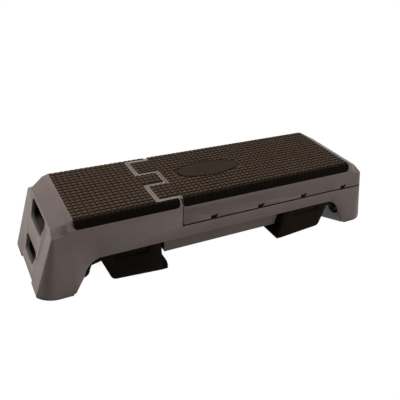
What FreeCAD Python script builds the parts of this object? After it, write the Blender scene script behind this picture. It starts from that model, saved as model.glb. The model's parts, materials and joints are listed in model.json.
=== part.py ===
"""Convertible aerobic step: a moulded deck with a fixed seat end, a backrest that
tilts up on a castellated hinge, a prop that holds it, and two fold-out legs.

Millimetres, +X towards the backrest end, +Z up, origin on the floor under the middle.
"""
import FreeCAD, Part
import math
import os
import Sketcher

Vector = FreeCAD.Vector

doc = FreeCAD.newDocument("aerobic_step")
sheet = doc.addObject("Spreadsheet::Sheet", "sizes")

# Driving dimensions: alias, value in mm or degrees, what it is
DRIVING = [
    ("foot_length", 1100, "length over the feet"),
    ("shoulder_length", 1000, "length at the shoulder line"),
    ("brow_length", 992, "length at the lower edge of the end slopes"),
    ("top_length", 884, "length of the flat top"),
    ("foot_width", 311, "width over the corner legs at the floor"),
    ("waist_width", 291, "width the waist would have at the floor"),
    ("side_width", 277, "width at the shoulder line"),
    ("top_width", 252, "width of the flat top"),
    ("brow_width", 213, "width of the end slope at its lower edge"),
    ("height", 216, "floor to tread"),
    ("brow_height", 190, "lower edge of the end slopes"),
    ("shoulder_height", 176, "shoulder line"),
    ("shoulder_rise", 5, "from the shoulder line to the corner facet's side point"),
    ("leg_length", 95, "corner leg along the side, at the floor"),
    ("leg_blend", 70, "length over which a corner leg runs into the waist"),
    ("corner_depth", 55, "rounded leg corner along the side"),
    ("corner_inset", 30, "rounded leg corner across the end"),
    ("corner_radius", 65.4, "rounding of the leg corners"),
    ("leg_rise", 5, "how far a corner leg's crease leans towards the end, floor to shoulder"),
    ("leg_lean", 4, "how far that crease leans back at each ring above the shoulder"),
    ("shoulder_corner", 6, "corner at the shoulder line, along the side"),
    ("facet_depth", 32, "corner facet under the end slope, along the side"),
    ("edge_round", 8, "how far the upper side edges draw in below the top"),
    ("edge_corner", 0.5, "what is left of the corner facet at its upper end"),
    ("wall", 4.5, "shell wall"),
    ("skin", 5, "shell thickness under the treads"),
    ("pad_height", 5, "rubber edge shoes under the legs"),
    ("pad_width", 9, "rubber edge shoes across the wall"),
    ("skirt_height", 92, "lower edge of the skirt between the legs"),
    ("arch_foot", 457, "inner edge of a corner leg at the floor, from the middle"),
    ("arch_knee", 427, "inner edge of a corner leg at the knee, from the middle"),
    ("arch_knee_height", 48, "height of that knee"),
    ("arch_apex", 382, "where the arch meets the skirt, from the middle"),
    ("arch_radius", 54, "rounding of the arch between knee and skirt"),
    ("end_arch_half", 66, "half width of the raised stretch under an end"),
    ("end_arch_height", 12, "height of that stretch"),
    ("seam_height", 130, "seam between base and backrest skirt"),
    ("seam_gap", 1.8, "gap in that seam at the hinge end"),
    ("seam_drop", 2, "how much wider the seam is at the free end"),
    ("seam_radius", 8, "lower corner of the backrest skirt at the hinge end"),
    ("deck_height", 124, "top of the inner deck"),
    ("deck_thickness", 5, "inner deck plate"),
    ("hinge_x", -180, "backrest hinge axis along the length"),
    ("hinge_height", 196, "backrest hinge axis above the floor"),
    ("knuckle_radius", 34, "rounding of tongue and tabs about the hinge axis"),
    ("knuckle_gap", 2.5, "gap round those knuckles"),
    ("knuckle_drop", 18, "knuckles below the hinge axis"),
    ("tongue_half", 33, "half width of the seat tongue"),
    ("tab_outer", 118, "outer side of the backrest tabs from the middle"),
    ("side_gap", 1.5, "gap beside the tabs"),
    ("hinge_rod_diameter", 12, "hinge rod"),
    ("running_fit", 0.05, "radial clearance of turning fits"),
    ("rim_width", 5, "bare rim beside the hinge seam"),
    ("rim_drop", 3.5, "rim below the tread"),
    ("mat_thickness", 5, "tread mat"),
    ("mat_wrap", 27, "how far the mat comes down over the side"),
    ("mat_edge_radius", 17, "rounded long edge of the mat"),
    ("mat_corner_radius", 9, "lower corners of the mat's side band"),
    ("mat_clearance", 0.3, "gap round the mats"),
    ("groove_pitch", 29.5, "from one main groove of the tread to the next"),
    ("groove_width", 5, "main grooves of the tread"),
    ("groove_depth", 2.8, "main grooves of the tread"),
    ("plate_half", 96.5, "bare oval in the backrest tread, half length"),
    ("plate_end_radius", 28, "ends of that oval"),
    ("plate_side_radius", 206, "long sides of that oval"),
    ("grip_upper_low", 132, "upper hand-hold, lower edge"),
    ("grip_upper_high", 184, "upper hand-hold, upper edge"),
    ("grip_upper_half", 70, "upper hand-hold, half width at the top"),
    ("grip_lower_low", 40, "lower hand-hold, lower edge"),
    ("grip_lower_high", 86, "lower hand-hold, upper edge"),
    ("grip_lower_half", 57, "lower hand-hold, half width at the top"),
    ("grip_taper", 10, "how much narrower a hand-hold is at its lower edge, each side"),
    ("grip_radius", 14, "rounded corners of the hand-holds"),
    ("grip_back_rise", 9, "backrest hand-hold above the backrest's lower edge"),
    ("band_notch_width", 16, "notch for an exercise band"),
    ("band_notch_height", 7, "height of that notch"),
    ("band_notch_first", -45, "first band notch along the length"),
    ("band_notch_step", 159, "from one band notch to the next"),
    ("belly_half_length", 196, "belly pan, half length"),
    ("belly_half_width", 128, "belly pan, half width"),
    ("belly_height", 42, "belly pan above the floor"),
    ("belly_wall", 4, "belly pan wall"),
    ("belly_flange", 16, "screw flange at each end of the belly pan"),
    ("leg_pivot_x", 430, "fold-out leg pivot from the middle"),
    ("leg_pivot_height", 54, "fold-out leg pivot above the floor"),
    ("leg_tip_x", 204, "tip wall of a stowed leg from the middle"),
    ("leg_tip_lean", 4, "lean of that wall"),
    ("leg_low", 1, "stowed leg above the floor at its tip"),
    ("leg_heel_x", 341, "where the outer lower corner of a stowed leg starts, from the middle"),
    ("leg_heel_low", 11, "stowed leg above the floor there"),
    ("leg_heel_run", 15, "that corner along the length"),
    ("leg_heel_rise", 11, "that corner upwards"),
    ("leg_heel_radius", 18, "rounding of that corner"),
    ("leg_back_x", 388, "outer edge of a stowed leg at the top, from the middle"),
    ("leg_top", 98, "upper edge of a stowed leg"),
    ("leg_half_top", 136.5, "half width of a stowed leg at the top"),
    ("leg_half_low", 148, "half width of a stowed leg at the bottom"),
    ("leg_cheek_inner", 127, "inside of the leg cheeks from the middle"),
    ("leg_panel", 5, "leg panel thickness"),
    ("leg_hub_radius", 20, "hub round the leg pivot"),
    ("leg_neck", 20, "depth of a leg arm where it leaves the tray"),
    ("leg_slot_x", 295, "middle of the recess in the leg cheek"),
    ("leg_slot_low", 68, "lower edge of that recess above the floor"),
    ("leg_slot_length", 98, "length of that recess"),
    ("leg_slot_height", 25, "height of that recess"),
    ("leg_slot_depth", 5, "depth of that recess"),
    ("toe_reach", 15.5, "rubber foot beyond the tip wall"),
    ("toe_height", 44, "rubber foot along the tip wall"),
    ("toe_nose", 12, "upright front of the rubber foot"),
    ("toe_radius", 50, "rounding above that front"),
    ("axle_diameter", 12, "leg axle"),
    ("bush_wall", 2, "leg bush wall"),
    ("lug_thickness", 9, "axle lugs under the deck"),
    ("lug_gap", 2, "gap between lug and leg arm"),
    ("prop_reach", 250, "hinge to prop pivot, and prop pivot to prop foot"),
    ("prop_slope", 6, "slope of the prop track, degrees"),
    ("prop_half", 50, "prop arms from the middle"),
    ("prop_arm", 8, "prop arm thickness"),
    ("prop_bar", 10, "prop foot bar diameter"),
    ("prop_pin", 8, "prop pivot rod diameter"),
    ("prop_hub_radius", 9, "prop eye"),
    ("prop_foot_radius", 6.5, "lower end of a prop arm"),
    ("prop_gap", 0.5, "prop foot above its racks"),
    ("tilt_first", 20, "first raised backrest angle, degrees"),
    ("tilt_second", 35, "second raised backrest angle, degrees"),
    ("tilt_third", 50, "third raised backrest angle, degrees"),
    ("tilt_last", 65, "steepest backrest angle, degrees"),
    ("rack_half", 20, "racks from the middle"),
    ("rack_thickness", 12, "racks"),
    ("rack_flange", 30, "rack foot flange width"),
    ("rack_flange_height", 4, "rack foot flange"),
    ("notch_depth", 4, "seats in the racks below the prop's path"),
    ("bracket_thickness", 5, "prop brackets"),
    ("bracket_length", 44, "prop brackets along the length"),
    ("bracket_flange", 22, "prop bracket flange"),
    ("screw_head", 10, "screw heads across the corners"),
    ("screw_head_height", 3, "height of the screw heads"),
    ("rib", 3, "stiffening ribs"),
    ("rib_height", 18, "stiffening ribs under the backrest"),
    ("rib_spread", 94, "long ribs from the middle"),
    ("rib_first", -50, "first cross rib along the length"),
    ("rib_step", 158, "from one cross rib to the next"),
]


class Size:
    """A number together with the sheet formula that gives it."""

    def __init__(self, value, formula):
        self.value = float(value)
        self.formula = formula

    def __add__(self, other):
        other = as_size(other)
        return Size(self.value + other.value, "(%s + %s)" % (self.formula, other.formula))

    def __sub__(self, other):
        other = as_size(other)
        return Size(self.value - other.value, "(%s - %s)" % (self.formula, other.formula))

    def __mul__(self, other):
        other = as_size(other)
        return Size(self.value * other.value, "(%s * %s)" % (self.formula, other.formula))

    def __truediv__(self, other):
        other = as_size(other)
        return Size(self.value / other.value, "(%s / %s)" % (self.formula, other.formula))

    def __radd__(self, other):
        return as_size(other) + self

    def __rsub__(self, other):
        return as_size(other) - self

    def __rmul__(self, other):
        return as_size(other) * self

    def __neg__(self):
        return self * -1


def as_size(number):
    """A Size from a plain number; a Size stays as it is."""
    if isinstance(number, Size):
        return number
    return Size(number, "(%.6g)" % number)


def root(size):
    return Size(math.sqrt(size.value), "sqrt(%s)" % size.formula)


def cosine(angle):
    return Size(math.cos(math.radians(angle.value)), "cos(%s)" % angle.formula)


def sine(angle):
    return Size(math.sin(math.radians(angle.value)), "sin(%s)" % angle.formula)


def between(low, high, share):
    """The size that lies a share of the way from low to high."""
    return low + (high - low) * share


class Sizes:
    """The driving dimensions by name, each bound to its cell."""

    def __init__(self, rows):
        for number, (alias, value, meaning) in enumerate(rows, start=1):
            sheet.set("A%d" % number, meaning)
            sheet.set("B%d" % number, "%g" % value)
            sheet.setAlias("B%d" % number, alias)
            setattr(self, alias, Size(value, "sizes." + alias))


S = Sizes(DRIVING)
doc.recompute()


def bind(item, path, size):
    """Tie a property of a document object to the sheet."""
    item.setExpression(path, as_size(size).formula)


def new_body(label):
    body = doc.addObject("PartDesign::Body", label)
    body.Label = label
    return body


def new_sketch(body, name, role, offset):
    """A sketch on one of the body's own planes, moved along the plane's normal."""
    plane = next(item for item in body.Origin.OriginFeatures if item.Role == role)
    sketch = body.newObject("Sketcher::SketchObject", name)
    sketch.AttachmentSupport = [(plane, "")]
    sketch.MapMode = "FlatFace"
    bind(sketch, "AttachmentOffset.Base.z", offset)
    return sketch


def pin_point(sketch, geometry, end, point):
    """Fix one end of a line or arc, or a circle's centre, from the sketch's origin."""
    for kind, size in zip(("DistanceX", "DistanceY"), point):
        number = sketch.addConstraint(Sketcher.Constraint(kind, -1, 1, geometry, end, size.value))
        bind(sketch, "Constraints[%d]" % number, size)


def fix_radius(sketch, geometry, radius):
    number = sketch.addConstraint(Sketcher.Constraint("Radius", geometry, radius.value))
    bind(sketch, "Constraints[%d]" % number, radius)


def arc_through(start, end, radius, centre_left):
    """The short arc from start to end, with its centre left or right of the way."""
    middle = (start + end) * 0.5
    way = end - start
    reach = math.sqrt(max(radius * radius - (way.Length / 2) ** 2, 0.0))
    side = Vector(-way.y, way.x, 0)
    side.normalize()
    if not centre_left:
        side = side * -1
    centre = middle + side * reach
    first, last = (start, end) if centre_left else (end, start)
    angles = [math.atan2(point.y - centre.y, point.x - centre.x) for point in (first, last)]
    return Part.ArcOfCircle(Part.Circle(centre, Vector(0, 0, 1), radius), angles[0], angles[1])


def outline(sketch, points, arcs=None):
    """A closed outline; arcs maps the number of a side to (radius, centre on the left)."""
    points = [(as_size(x), as_size(y)) for x, y in points]
    arcs = arcs or {}
    count = len(points)
    spots = [Vector(x.value, y.value, 0) for x, y in points]
    ends = []
    for side in range(count):
        start, end = spots[side], spots[(side + 1) % count]
        if side in arcs:
            radius, centre_left = arcs[side]
            number = sketch.addGeometry(arc_through(start, end, as_size(radius).value, centre_left))
            ends.append((number, 1, 2) if centre_left else (number, 2, 1))
        else:
            ends.append((sketch.addGeometry(Part.LineSegment(start, end)), 1, 2))
    for side in range(count):
        here, after = ends[side], ends[(side + 1) % count]
        sketch.addConstraint(Sketcher.Constraint("Coincident", here[0], here[2], after[0], after[1]))
    for side, point in enumerate(points):
        pin_point(sketch, ends[side][0], ends[side][1], point)
    for side, (radius, centre_left) in arcs.items():
        fix_radius(sketch, ends[side][0], as_size(radius))


def circles(sketch, rounds):
    """Circles given as (x, y, radius)."""
    for x, y, radius in rounds:
        x, y, radius = as_size(x), as_size(y), as_size(radius)
        circle = Part.Circle(Vector(x.value, y.value, 0), Vector(0, 0, 1), radius.value)
        number = sketch.addGeometry(circle)
        pin_point(sketch, number, 3, (x, y))
        fix_radius(sketch, number, radius)


# Direction of a plane's normal along the axis that it is square to
NORMAL = {"XY_Plane": 1, "YZ_Plane": 1, "XZ_Plane": -1}


def prism(body, name, role, start, end, points=None, arcs=None, rounds=None, ring=None, cut=False):
    """Add or cut a prism from start to end along the axis square to the plane."""
    sketch = new_sketch(body, name + "_outline", role, as_size(start) * NORMAL[role])
    if ring:
        ring.draw(sketch)
    if points:
        outline(sketch, points, arcs)
    if rounds:
        circles(sketch, rounds)
    kind = "PartDesign::Pocket" if cut else "PartDesign::Pad"
    feature = body.newObject(kind, name)
    feature.Profile = sketch
    bind(feature, "Length", as_size(end) - start)
    feature.Reversed = (NORMAL[role] < 0) != cut
    sketch.Visibility = False
    return feature


def across(body, name, start, end, *args, **kwargs):
    """A prism whose outline lies in X and Z, from y = start to y = end."""
    return prism(body, name, "XZ_Plane", start, end, *args, **kwargs)


def along(body, name, start, end, *args, **kwargs):
    """A prism whose outline lies in Y and Z, from x = start to x = end."""
    return prism(body, name, "YZ_Plane", start, end, *args, **kwargs)


def upward(body, name, start, end, *args, **kwargs):
    """A prism whose outline lies in X and Y, from z = start to z = end."""
    return prism(body, name, "XY_Plane", start, end, *args, **kwargs)


def both_sides(body, name, inner, outer, *args, **kwargs):
    """The same X and Z outline between two distances from the middle, near and far."""
    across(body, name + "_near", -as_size(outer), -as_size(inner), *args, **kwargs)
    across(body, name + "_far", inner, outer, *args, **kwargs)


def rectangle(left, low, right, high):
    return [(left, low), (right, low), (right, high), (left, high)]


def rising(one, other):
    """Two sizes, the lower one first."""
    return (one, other) if one.value < other.value else (other, one)


def rod(label, radius, length, x, y, z):
    """A round rod along Y, starting at (x, y, z)."""
    item = doc.addObject("Part::Cylinder", label)
    item.Label = label
    bind(item, "Radius", radius)
    bind(item, "Height", length)
    item.Placement = FreeCAD.Placement(Vector(0, 0, 0), FreeCAD.Rotation(Vector(1, 0, 0), -90))
    for axis, size in zip("xyz", (x, y, z)):
        bind(item, "Placement.Base." + axis, size)
    return item


# The outer form: horizontal rings, one quarter each, mirrored to both sides and ends.

foot_end = S.foot_length / 2
foot_half = S.foot_width / 2
side_half = S.side_width / 2
top_half = S.top_width / 2
shoulder_end = S.shoulder_length / 2
brow_end = S.brow_length / 2
top_end = S.top_length / 2
brow_half = S.brow_width / 2


class Ring:
    """A ring of the form at one height, by its points on one quarter.

    end: the end edge and its half width; corner: where the corner meets the side;
    leg: where the corner leg starts to narrow; waist: where it has narrowed.
    """

    def __init__(self, height, end, corner, leg, waist, radius=None):
        self.height = as_size(height)
        self.quarter = [end, corner, leg, waist]
        self.radius = radius

    def inset(self, height, depth):
        """The ring drawn in by a depth, at another height and with plain corners."""
        return Ring(height, *[(x - depth, y - depth) for x, y in self.quarter])

    def at(self, height, above):
        """The ring between this one and the one above it, at a height."""
        height = as_size(height)
        share = (height - self.height) / (above.height - self.height)
        quarter = []
        for (x0, y0), (x1, y1) in zip(self.quarter, above.quarter):
            quarter.append((between(x0, x1, share), between(y0, y1, share)))
        return Ring(height, *quarter, radius=between(self.radius, above.radius, share))

    def draw(self, sketch):
        """The closed ring, anticlockwise from the end at +X."""
        right_far = self.quarter
        left_far = [(-x, y) for x, y in reversed(right_far)]
        left_near = [(-x, -y) for x, y in right_far]
        right_near = [(x, -y) for x, y in reversed(right_far)]
        arcs = {}
        if self.radius is not None:
            arcs = {side: (self.radius, True) for side in (0, 6, 8, 14)}
        outline(sketch, right_far + left_far + left_near + right_near, arcs)


shoulder_leg = foot_end - S.leg_length + S.leg_rise
corner_share = S.shoulder_corner / S.corner_depth
shoulder_corner_y = side_half - S.corner_inset * corner_share
foot_ring = Ring(
    S.pad_height,
    (foot_end, foot_half - S.corner_inset),
    (foot_end - S.corner_depth, foot_half),
    (foot_end - S.leg_length, foot_half),
    (foot_end - S.leg_length - S.leg_blend, S.waist_width / 2),
    S.corner_radius,
)
shoulder_ring = Ring(
    S.shoulder_height,
    (shoulder_end, shoulder_corner_y),
    (shoulder_end - S.shoulder_corner, side_half),
    (shoulder_leg, side_half),
    (shoulder_leg - S.leg_blend, side_half),
    S.corner_radius * corner_share,
)
facet_share = S.shoulder_rise / (S.brow_height - S.shoulder_height)
facet_ring = Ring(
    S.shoulder_height + S.shoulder_rise,
    (between(shoulder_end, brow_end, facet_share),
     between(shoulder_corner_y, brow_half, facet_share)),
    (brow_end - S.facet_depth, side_half),
    (shoulder_leg - S.leg_lean, side_half),
    (shoulder_leg - S.leg_blend, side_half),
)
brow_ring = Ring(
    S.brow_height,
    (brow_end, brow_half),
    (brow_end - S.facet_depth - S.edge_round / 4, side_half),
    (shoulder_leg - S.leg_lean * 2, side_half),
    (shoulder_leg - S.leg_blend, side_half),
)
edge_share = Size(2 / 3, "(2 / 3)")
edge_height = between(S.brow_height, S.height, edge_share)
edge_half = top_half + S.edge_round / 2
edge_end = between(brow_end, top_end, edge_share)
edge_ring = Ring(
    edge_height,
    (edge_end, edge_half - S.edge_corner),
    (edge_end - S.edge_corner, edge_half),
    (shoulder_leg - S.leg_lean * 3, edge_half),
    (shoulder_leg - S.leg_blend, edge_half),
)
CROWN = [shoulder_ring, facet_ring, brow_ring, edge_ring]

skin_low = S.height - S.mat_thickness - S.skin
brow_void_height = S.brow_height - S.wall / 2
CROWN_VOID = [
    shoulder_ring.inset(S.shoulder_height - S.wall, S.wall),
    facet_ring.inset(S.shoulder_height + S.shoulder_rise, S.wall * 1.5),
    brow_ring.inset(brow_void_height, S.wall * 2),
]


def add_crown_top(body):
    """The crown above the last ring: straight sides and end slopes up to the tread."""
    sides = [
        (edge_half, edge_height), (top_half, S.height), (-top_half, S.height), (-edge_half, edge_height),
    ]
    along(body, "crown_top", -edge_end, edge_end, sides)
    for name, end in (("left", -1), ("right", 1)):
        slope = [
            (edge_end * end, edge_height), (edge_end * end, S.height + S.wall),
            (top_end * end, S.height + S.wall), (top_end * end, S.height),
        ]
        across(body, "end_slope_" + name, -foot_half, foot_half, slope, cut=True)


def cut_crown_hollow(body):
    """The hollow from the last ring of the void up to the skin under the tread."""
    long, wide = top_end, top_half - S.skin
    hollow = rectangle(-long, -wide, long, wide)
    upward(body, "crown_hollow", brow_void_height - S.skin, skin_low, hollow, cut=True)


def ruled_loft(body, name, rings, cut=False):
    """A straight-sided loft through horizontal rings."""
    sketches = []
    for number, ring in enumerate(rings):
        sketch = new_sketch(body, "%s_ring_%d" % (name, number), "XY_Plane", ring.height)
        ring.draw(sketch)
        sketch.Visibility = False
        sketches.append(sketch)
    kind = "PartDesign::SubtractiveLoft" if cut else "PartDesign::AdditiveLoft"
    loft = body.newObject(kind, name)
    loft.Profile = sketches[0]
    loft.Sections = sketches[1:]
    loft.Ruled = True
    return loft


# The castellated hinge: a tongue and two outer strips belong to the seat, two tabs to
# the backrest, all rounded about the hinge rod.

hinge_x = S.hinge_x
hinge_z = S.hinge_height
knuckle = S.knuckle_radius
recess = S.knuckle_radius + S.knuckle_gap
rim_z = S.height - S.rim_drop
above = S.height + S.skin * 4
rod_radius = S.hinge_rod_diameter / 2
rod_half = side_half - S.wall - S.rim_drop
tab_inner = S.tongue_half + S.side_gap
strip_inner = S.tab_outer + S.side_gap
core_top = S.height - S.mat_thickness


def reach(radius, rise):
    """How far a circle of this radius reaches sideways at a height from its centre."""
    return root(radius * radius - rise * rise)


rim_rise = rim_z - hinge_z
tongue_edge = hinge_x + reach(knuckle, rim_rise)
notch_edge = hinge_x - reach(recess, rim_rise)
back_edge = hinge_x + reach(recess, rim_rise)
tab_edge = hinge_x - reach(knuckle, rim_rise)


def knuckle_outline(root_x, way):
    """Side view of a knuckle from its root, rounded about the hinge; way is +1 or -1."""
    low = hinge_z - S.knuckle_drop
    points = [
        (root_x, low),
        (hinge_x + reach(knuckle, S.knuckle_drop) * way, low),
        (hinge_x + knuckle * way, hinge_z),
        (hinge_x + reach(knuckle, rim_rise) * way, rim_z),
        (root_x, rim_z),
    ]
    return points, {1: (knuckle, way > 0), 2: (knuckle, way > 0)}


# The mats: a tread that wraps over both long edges of the crown.

wrap_low = S.height - S.mat_wrap
band_round = S.height - S.mat_edge_radius
flat_half = side_half - S.mat_edge_radius
core_half = side_half - S.mat_thickness
core_radius = S.mat_edge_radius - S.mat_thickness
beam_top = core_top - S.mat_clearance * 2
beam_half = flat_half + S.rim_width


def mat_profile():
    """Cross-section of a mat: flat tread, rounded edges and side bands."""
    points = [
        (side_half, wrap_low), (side_half, band_round), (flat_half, S.height),
        (-flat_half, S.height), (-side_half, band_round), (-side_half, wrap_low),
        (-core_half, wrap_low), (-core_half, band_round), (-flat_half, core_top),
        (flat_half, core_top), (core_half, band_round), (core_half, wrap_low),
    ]
    outer = (S.mat_edge_radius, True)
    inner = (core_radius, False)
    return points, {1: outer, 3: outer, 7: inner, 9: inner}


def crown_cut_profile():
    """What a mat's bed takes off the crown above the side bands."""
    gap = S.mat_clearance
    half = core_half - gap
    top = core_top - gap
    points = [
        (foot_half, above), (-foot_half, above), (-foot_half, band_round), (-half, band_round),
        (-flat_half, top), (flat_half, top), (half, band_round), (foot_half, band_round),
    ]
    inner = (core_radius - gap, False)
    return points, {3: inner, 5: inner}


def strip_cut_profile(side):
    """The same beside the tabs, on the outer strip of one side (+1 or -1)."""
    gap = S.mat_clearance
    half = core_half - gap
    inner = strip_inner + S.rim_width - gap
    radius = core_radius - gap
    rise = root(radius * radius - (inner - flat_half) * (inner - flat_half))
    points = [
        (foot_half * side, above), (inner * side, above), (inner * side, band_round + rise),
        (half * side, band_round), (foot_half * side, band_round),
    ]
    return points, {2: (radius, side < 0)}


def cut_band_bed(body, left, right):
    """The bed of the side bands between two stations, with rounded lower corners."""
    gap = S.mat_clearance
    low = wrap_low - gap
    radius = S.mat_corner_radius + gap
    points = [
        (left, band_round), (left, low + radius), (left + radius, low),
        (right - radius, low), (right, low + radius), (right, band_round),
    ]
    arcs = {1: (radius, True), 3: (radius, True)}
    both_sides(body, "band_bed", core_half - gap, foot_half, points, arcs, cut=True)


def cut_prism(maker, body, name, start, end, profile):
    points, arcs = profile
    return maker(body, name, start, end, points, arcs, cut=True)


def grip_outline(low, high, half):
    """A hand-hold: narrower at its lower edge, with rounded corners."""
    radius = S.grip_radius
    foot = half - S.grip_taper
    points = [
        (-foot + radius, low), (foot - radius, low), (foot, low + radius), (half, high - radius),
        (half - radius, high), (-half + radius, high), (-half, high - radius), (-foot, low + radius),
    ]
    return points, {side: (radius, True) for side in (1, 3, 5, 7)}


def cut_grip(body, name, end, low, high, half):
    """A hand-hold through the end wall at +X (end = 1) or -X (end = -1)."""
    outside = (foot_end + S.wall) * end
    inside = (shoulder_end - S.corner_depth) * end
    start, stop = (inside, outside) if end > 0 else (outside, inside)
    cut_prism(along, body, name, start, stop, grip_outline(low, high, half))


deck_low = S.deck_height - S.deck_thickness
lug_radius = S.leg_hub_radius - S.rib
axle_radius = S.axle_diameter / 2


def add_axle_lugs(body, end):
    """Two lugs under the deck that carry one leg's axle."""
    x = S.leg_pivot_x * end
    z = S.leg_pivot_height
    top = deck_low + S.deck_thickness / 2
    points = [
        (x + (lug_radius + S.lug_thickness) * end, top),
        (x - (lug_radius + S.lug_thickness / 2) * end, top),
        (x - lug_radius * end, z),
        (x, z - lug_radius),
        (x + lug_radius * end, z),
    ]
    arcs = {2: (lug_radius, end > 0), 3: (lug_radius, end > 0)}
    outer = S.leg_cheek_inner - S.lug_gap
    name = "axle_lug_right" if end > 0 else "axle_lug_left"
    both_sides(body, name, outer - S.lug_thickness, outer, points, arcs)
    across(body, name + "_bore", -outer, outer, rounds=[(x, z, axle_radius)], cut=True)


def make_base_shell():
    body = new_body("base_shell")
    ruled_loft(body, "outer_form", [foot_ring] + CROWN)
    add_crown_top(body)
    ruled_loft(body, "hollow", [foot_ring.inset(0, S.wall)] + CROWN_VOID, cut=True)
    cut_crown_hollow(body)

    # Room for the backrest: right of the hinge and above the seam
    free_end = foot_end + S.wall
    top_reach = reach(knuckle, S.height - hinge_z)
    corner = S.seam_radius
    points = [
        (hinge_x + top_reach, above), (hinge_x + top_reach, S.height), (hinge_x + knuckle, hinge_z),
        (hinge_x + knuckle, S.seam_height + corner), (hinge_x + knuckle + corner, S.seam_height),
        (free_end, S.seam_height - S.seam_drop), (free_end, above),
    ]
    arcs = {1: (knuckle, False), 3: (corner, True)}
    across(body, "backrest_room", -foot_half, foot_half, points, arcs, cut=True)

    # Arches between the corner legs, and the raised stretch under each end
    floor = S.pad_height - S.wall
    points = [
        (-S.arch_foot, floor), (-S.arch_knee, S.arch_knee_height), (-S.arch_apex, S.skirt_height),
        (S.arch_apex, S.skirt_height), (S.arch_knee, S.arch_knee_height), (S.arch_foot, floor),
    ]
    arcs = {1: (S.arch_radius, False), 3: (S.arch_radius, False)}
    across(body, "arches", -foot_half - S.wall, foot_half + S.wall, points, arcs, cut=True)
    half = S.end_arch_half
    end_arch = rectangle(-half, floor, half, S.end_arch_height)
    along(body, "end_arches", -free_end, free_end, end_arch, cut=True)

    # Inner deck, hinge beam, tongue and outer strips
    deck_ring = foot_ring.at(deck_low, shoulder_ring).inset(deck_low, S.wall / 2)
    upward(body, "deck", deck_low, S.deck_height, ring=deck_ring)
    beam = rectangle(hinge_x - recess - S.skin, hinge_z - recess - S.skin, hinge_x, beam_top)
    across(body, "hinge_beam", -beam_half, beam_half, beam)
    points, arcs = knuckle_outline(hinge_x - S.skin, 1)
    across(body, "tongue", -S.tongue_half, S.tongue_half, points, arcs)
    both_sides(body, "outer_strip", strip_inner, strip_inner + S.rim_width, points, arcs)

    # Troughs for the backrest tabs, and the rod's bore
    top_reach = reach(recess, S.height - hinge_z)
    right = hinge_x + recess * 2
    points = [
        (hinge_x - top_reach, above), (hinge_x - top_reach, S.height), (hinge_x - recess, hinge_z),
        (hinge_x, hinge_z - recess), (right, hinge_z - recess), (right, above),
    ]
    arcs = {1: (recess, True), 2: (recess, True)}
    both_sides(body, "tab_trough", S.tongue_half, strip_inner, points, arcs, cut=True)
    bore = [(hinge_x, hinge_z, rod_radius)]
    across(body, "rod_bore", -rod_half, rod_half, rounds=bore, cut=True)

    # Bed of the seat mat, with its bare rims
    gap = S.mat_clearance
    mat_left = -top_end - gap
    mat_notch = notch_edge - S.rim_width + gap
    mat_right = tongue_edge - S.rim_width + gap
    cut_prism(along, body, "mat_bed", mat_left, mat_notch, crown_cut_profile())
    half = S.tongue_half - S.rim_width + gap
    tongue_bed = rectangle(-half, core_top - gap, half, above)
    along(body, "mat_bed_tongue", mat_notch, mat_right, tongue_bed, cut=True)
    cut_prism(along, body, "mat_bed_far", mat_notch, mat_right, strip_cut_profile(1))
    cut_prism(along, body, "mat_bed_near", mat_notch, mat_right, strip_cut_profile(-1))
    cut_band_bed(body, mat_left, mat_right)
    rims = rectangle(mat_notch, rim_z, right, above)
    across(body, "rim_level", -foot_half, foot_half, rims, cut=True)

    # Hand-holds in the ends, and the lugs that carry the legs
    cut_grip(body, "grip_left_upper", -1, S.grip_upper_low, S.grip_upper_high, S.grip_upper_half)
    cut_grip(body, "grip_left_lower", -1, S.grip_lower_low, S.grip_lower_high, S.grip_lower_half)
    cut_grip(body, "grip_right_lower", 1, S.grip_lower_low, S.grip_lower_high, S.grip_lower_half)
    add_axle_lugs(body, -1)
    add_axle_lugs(body, 1)
    return body


back_low = S.seam_height + S.seam_gap


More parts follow.
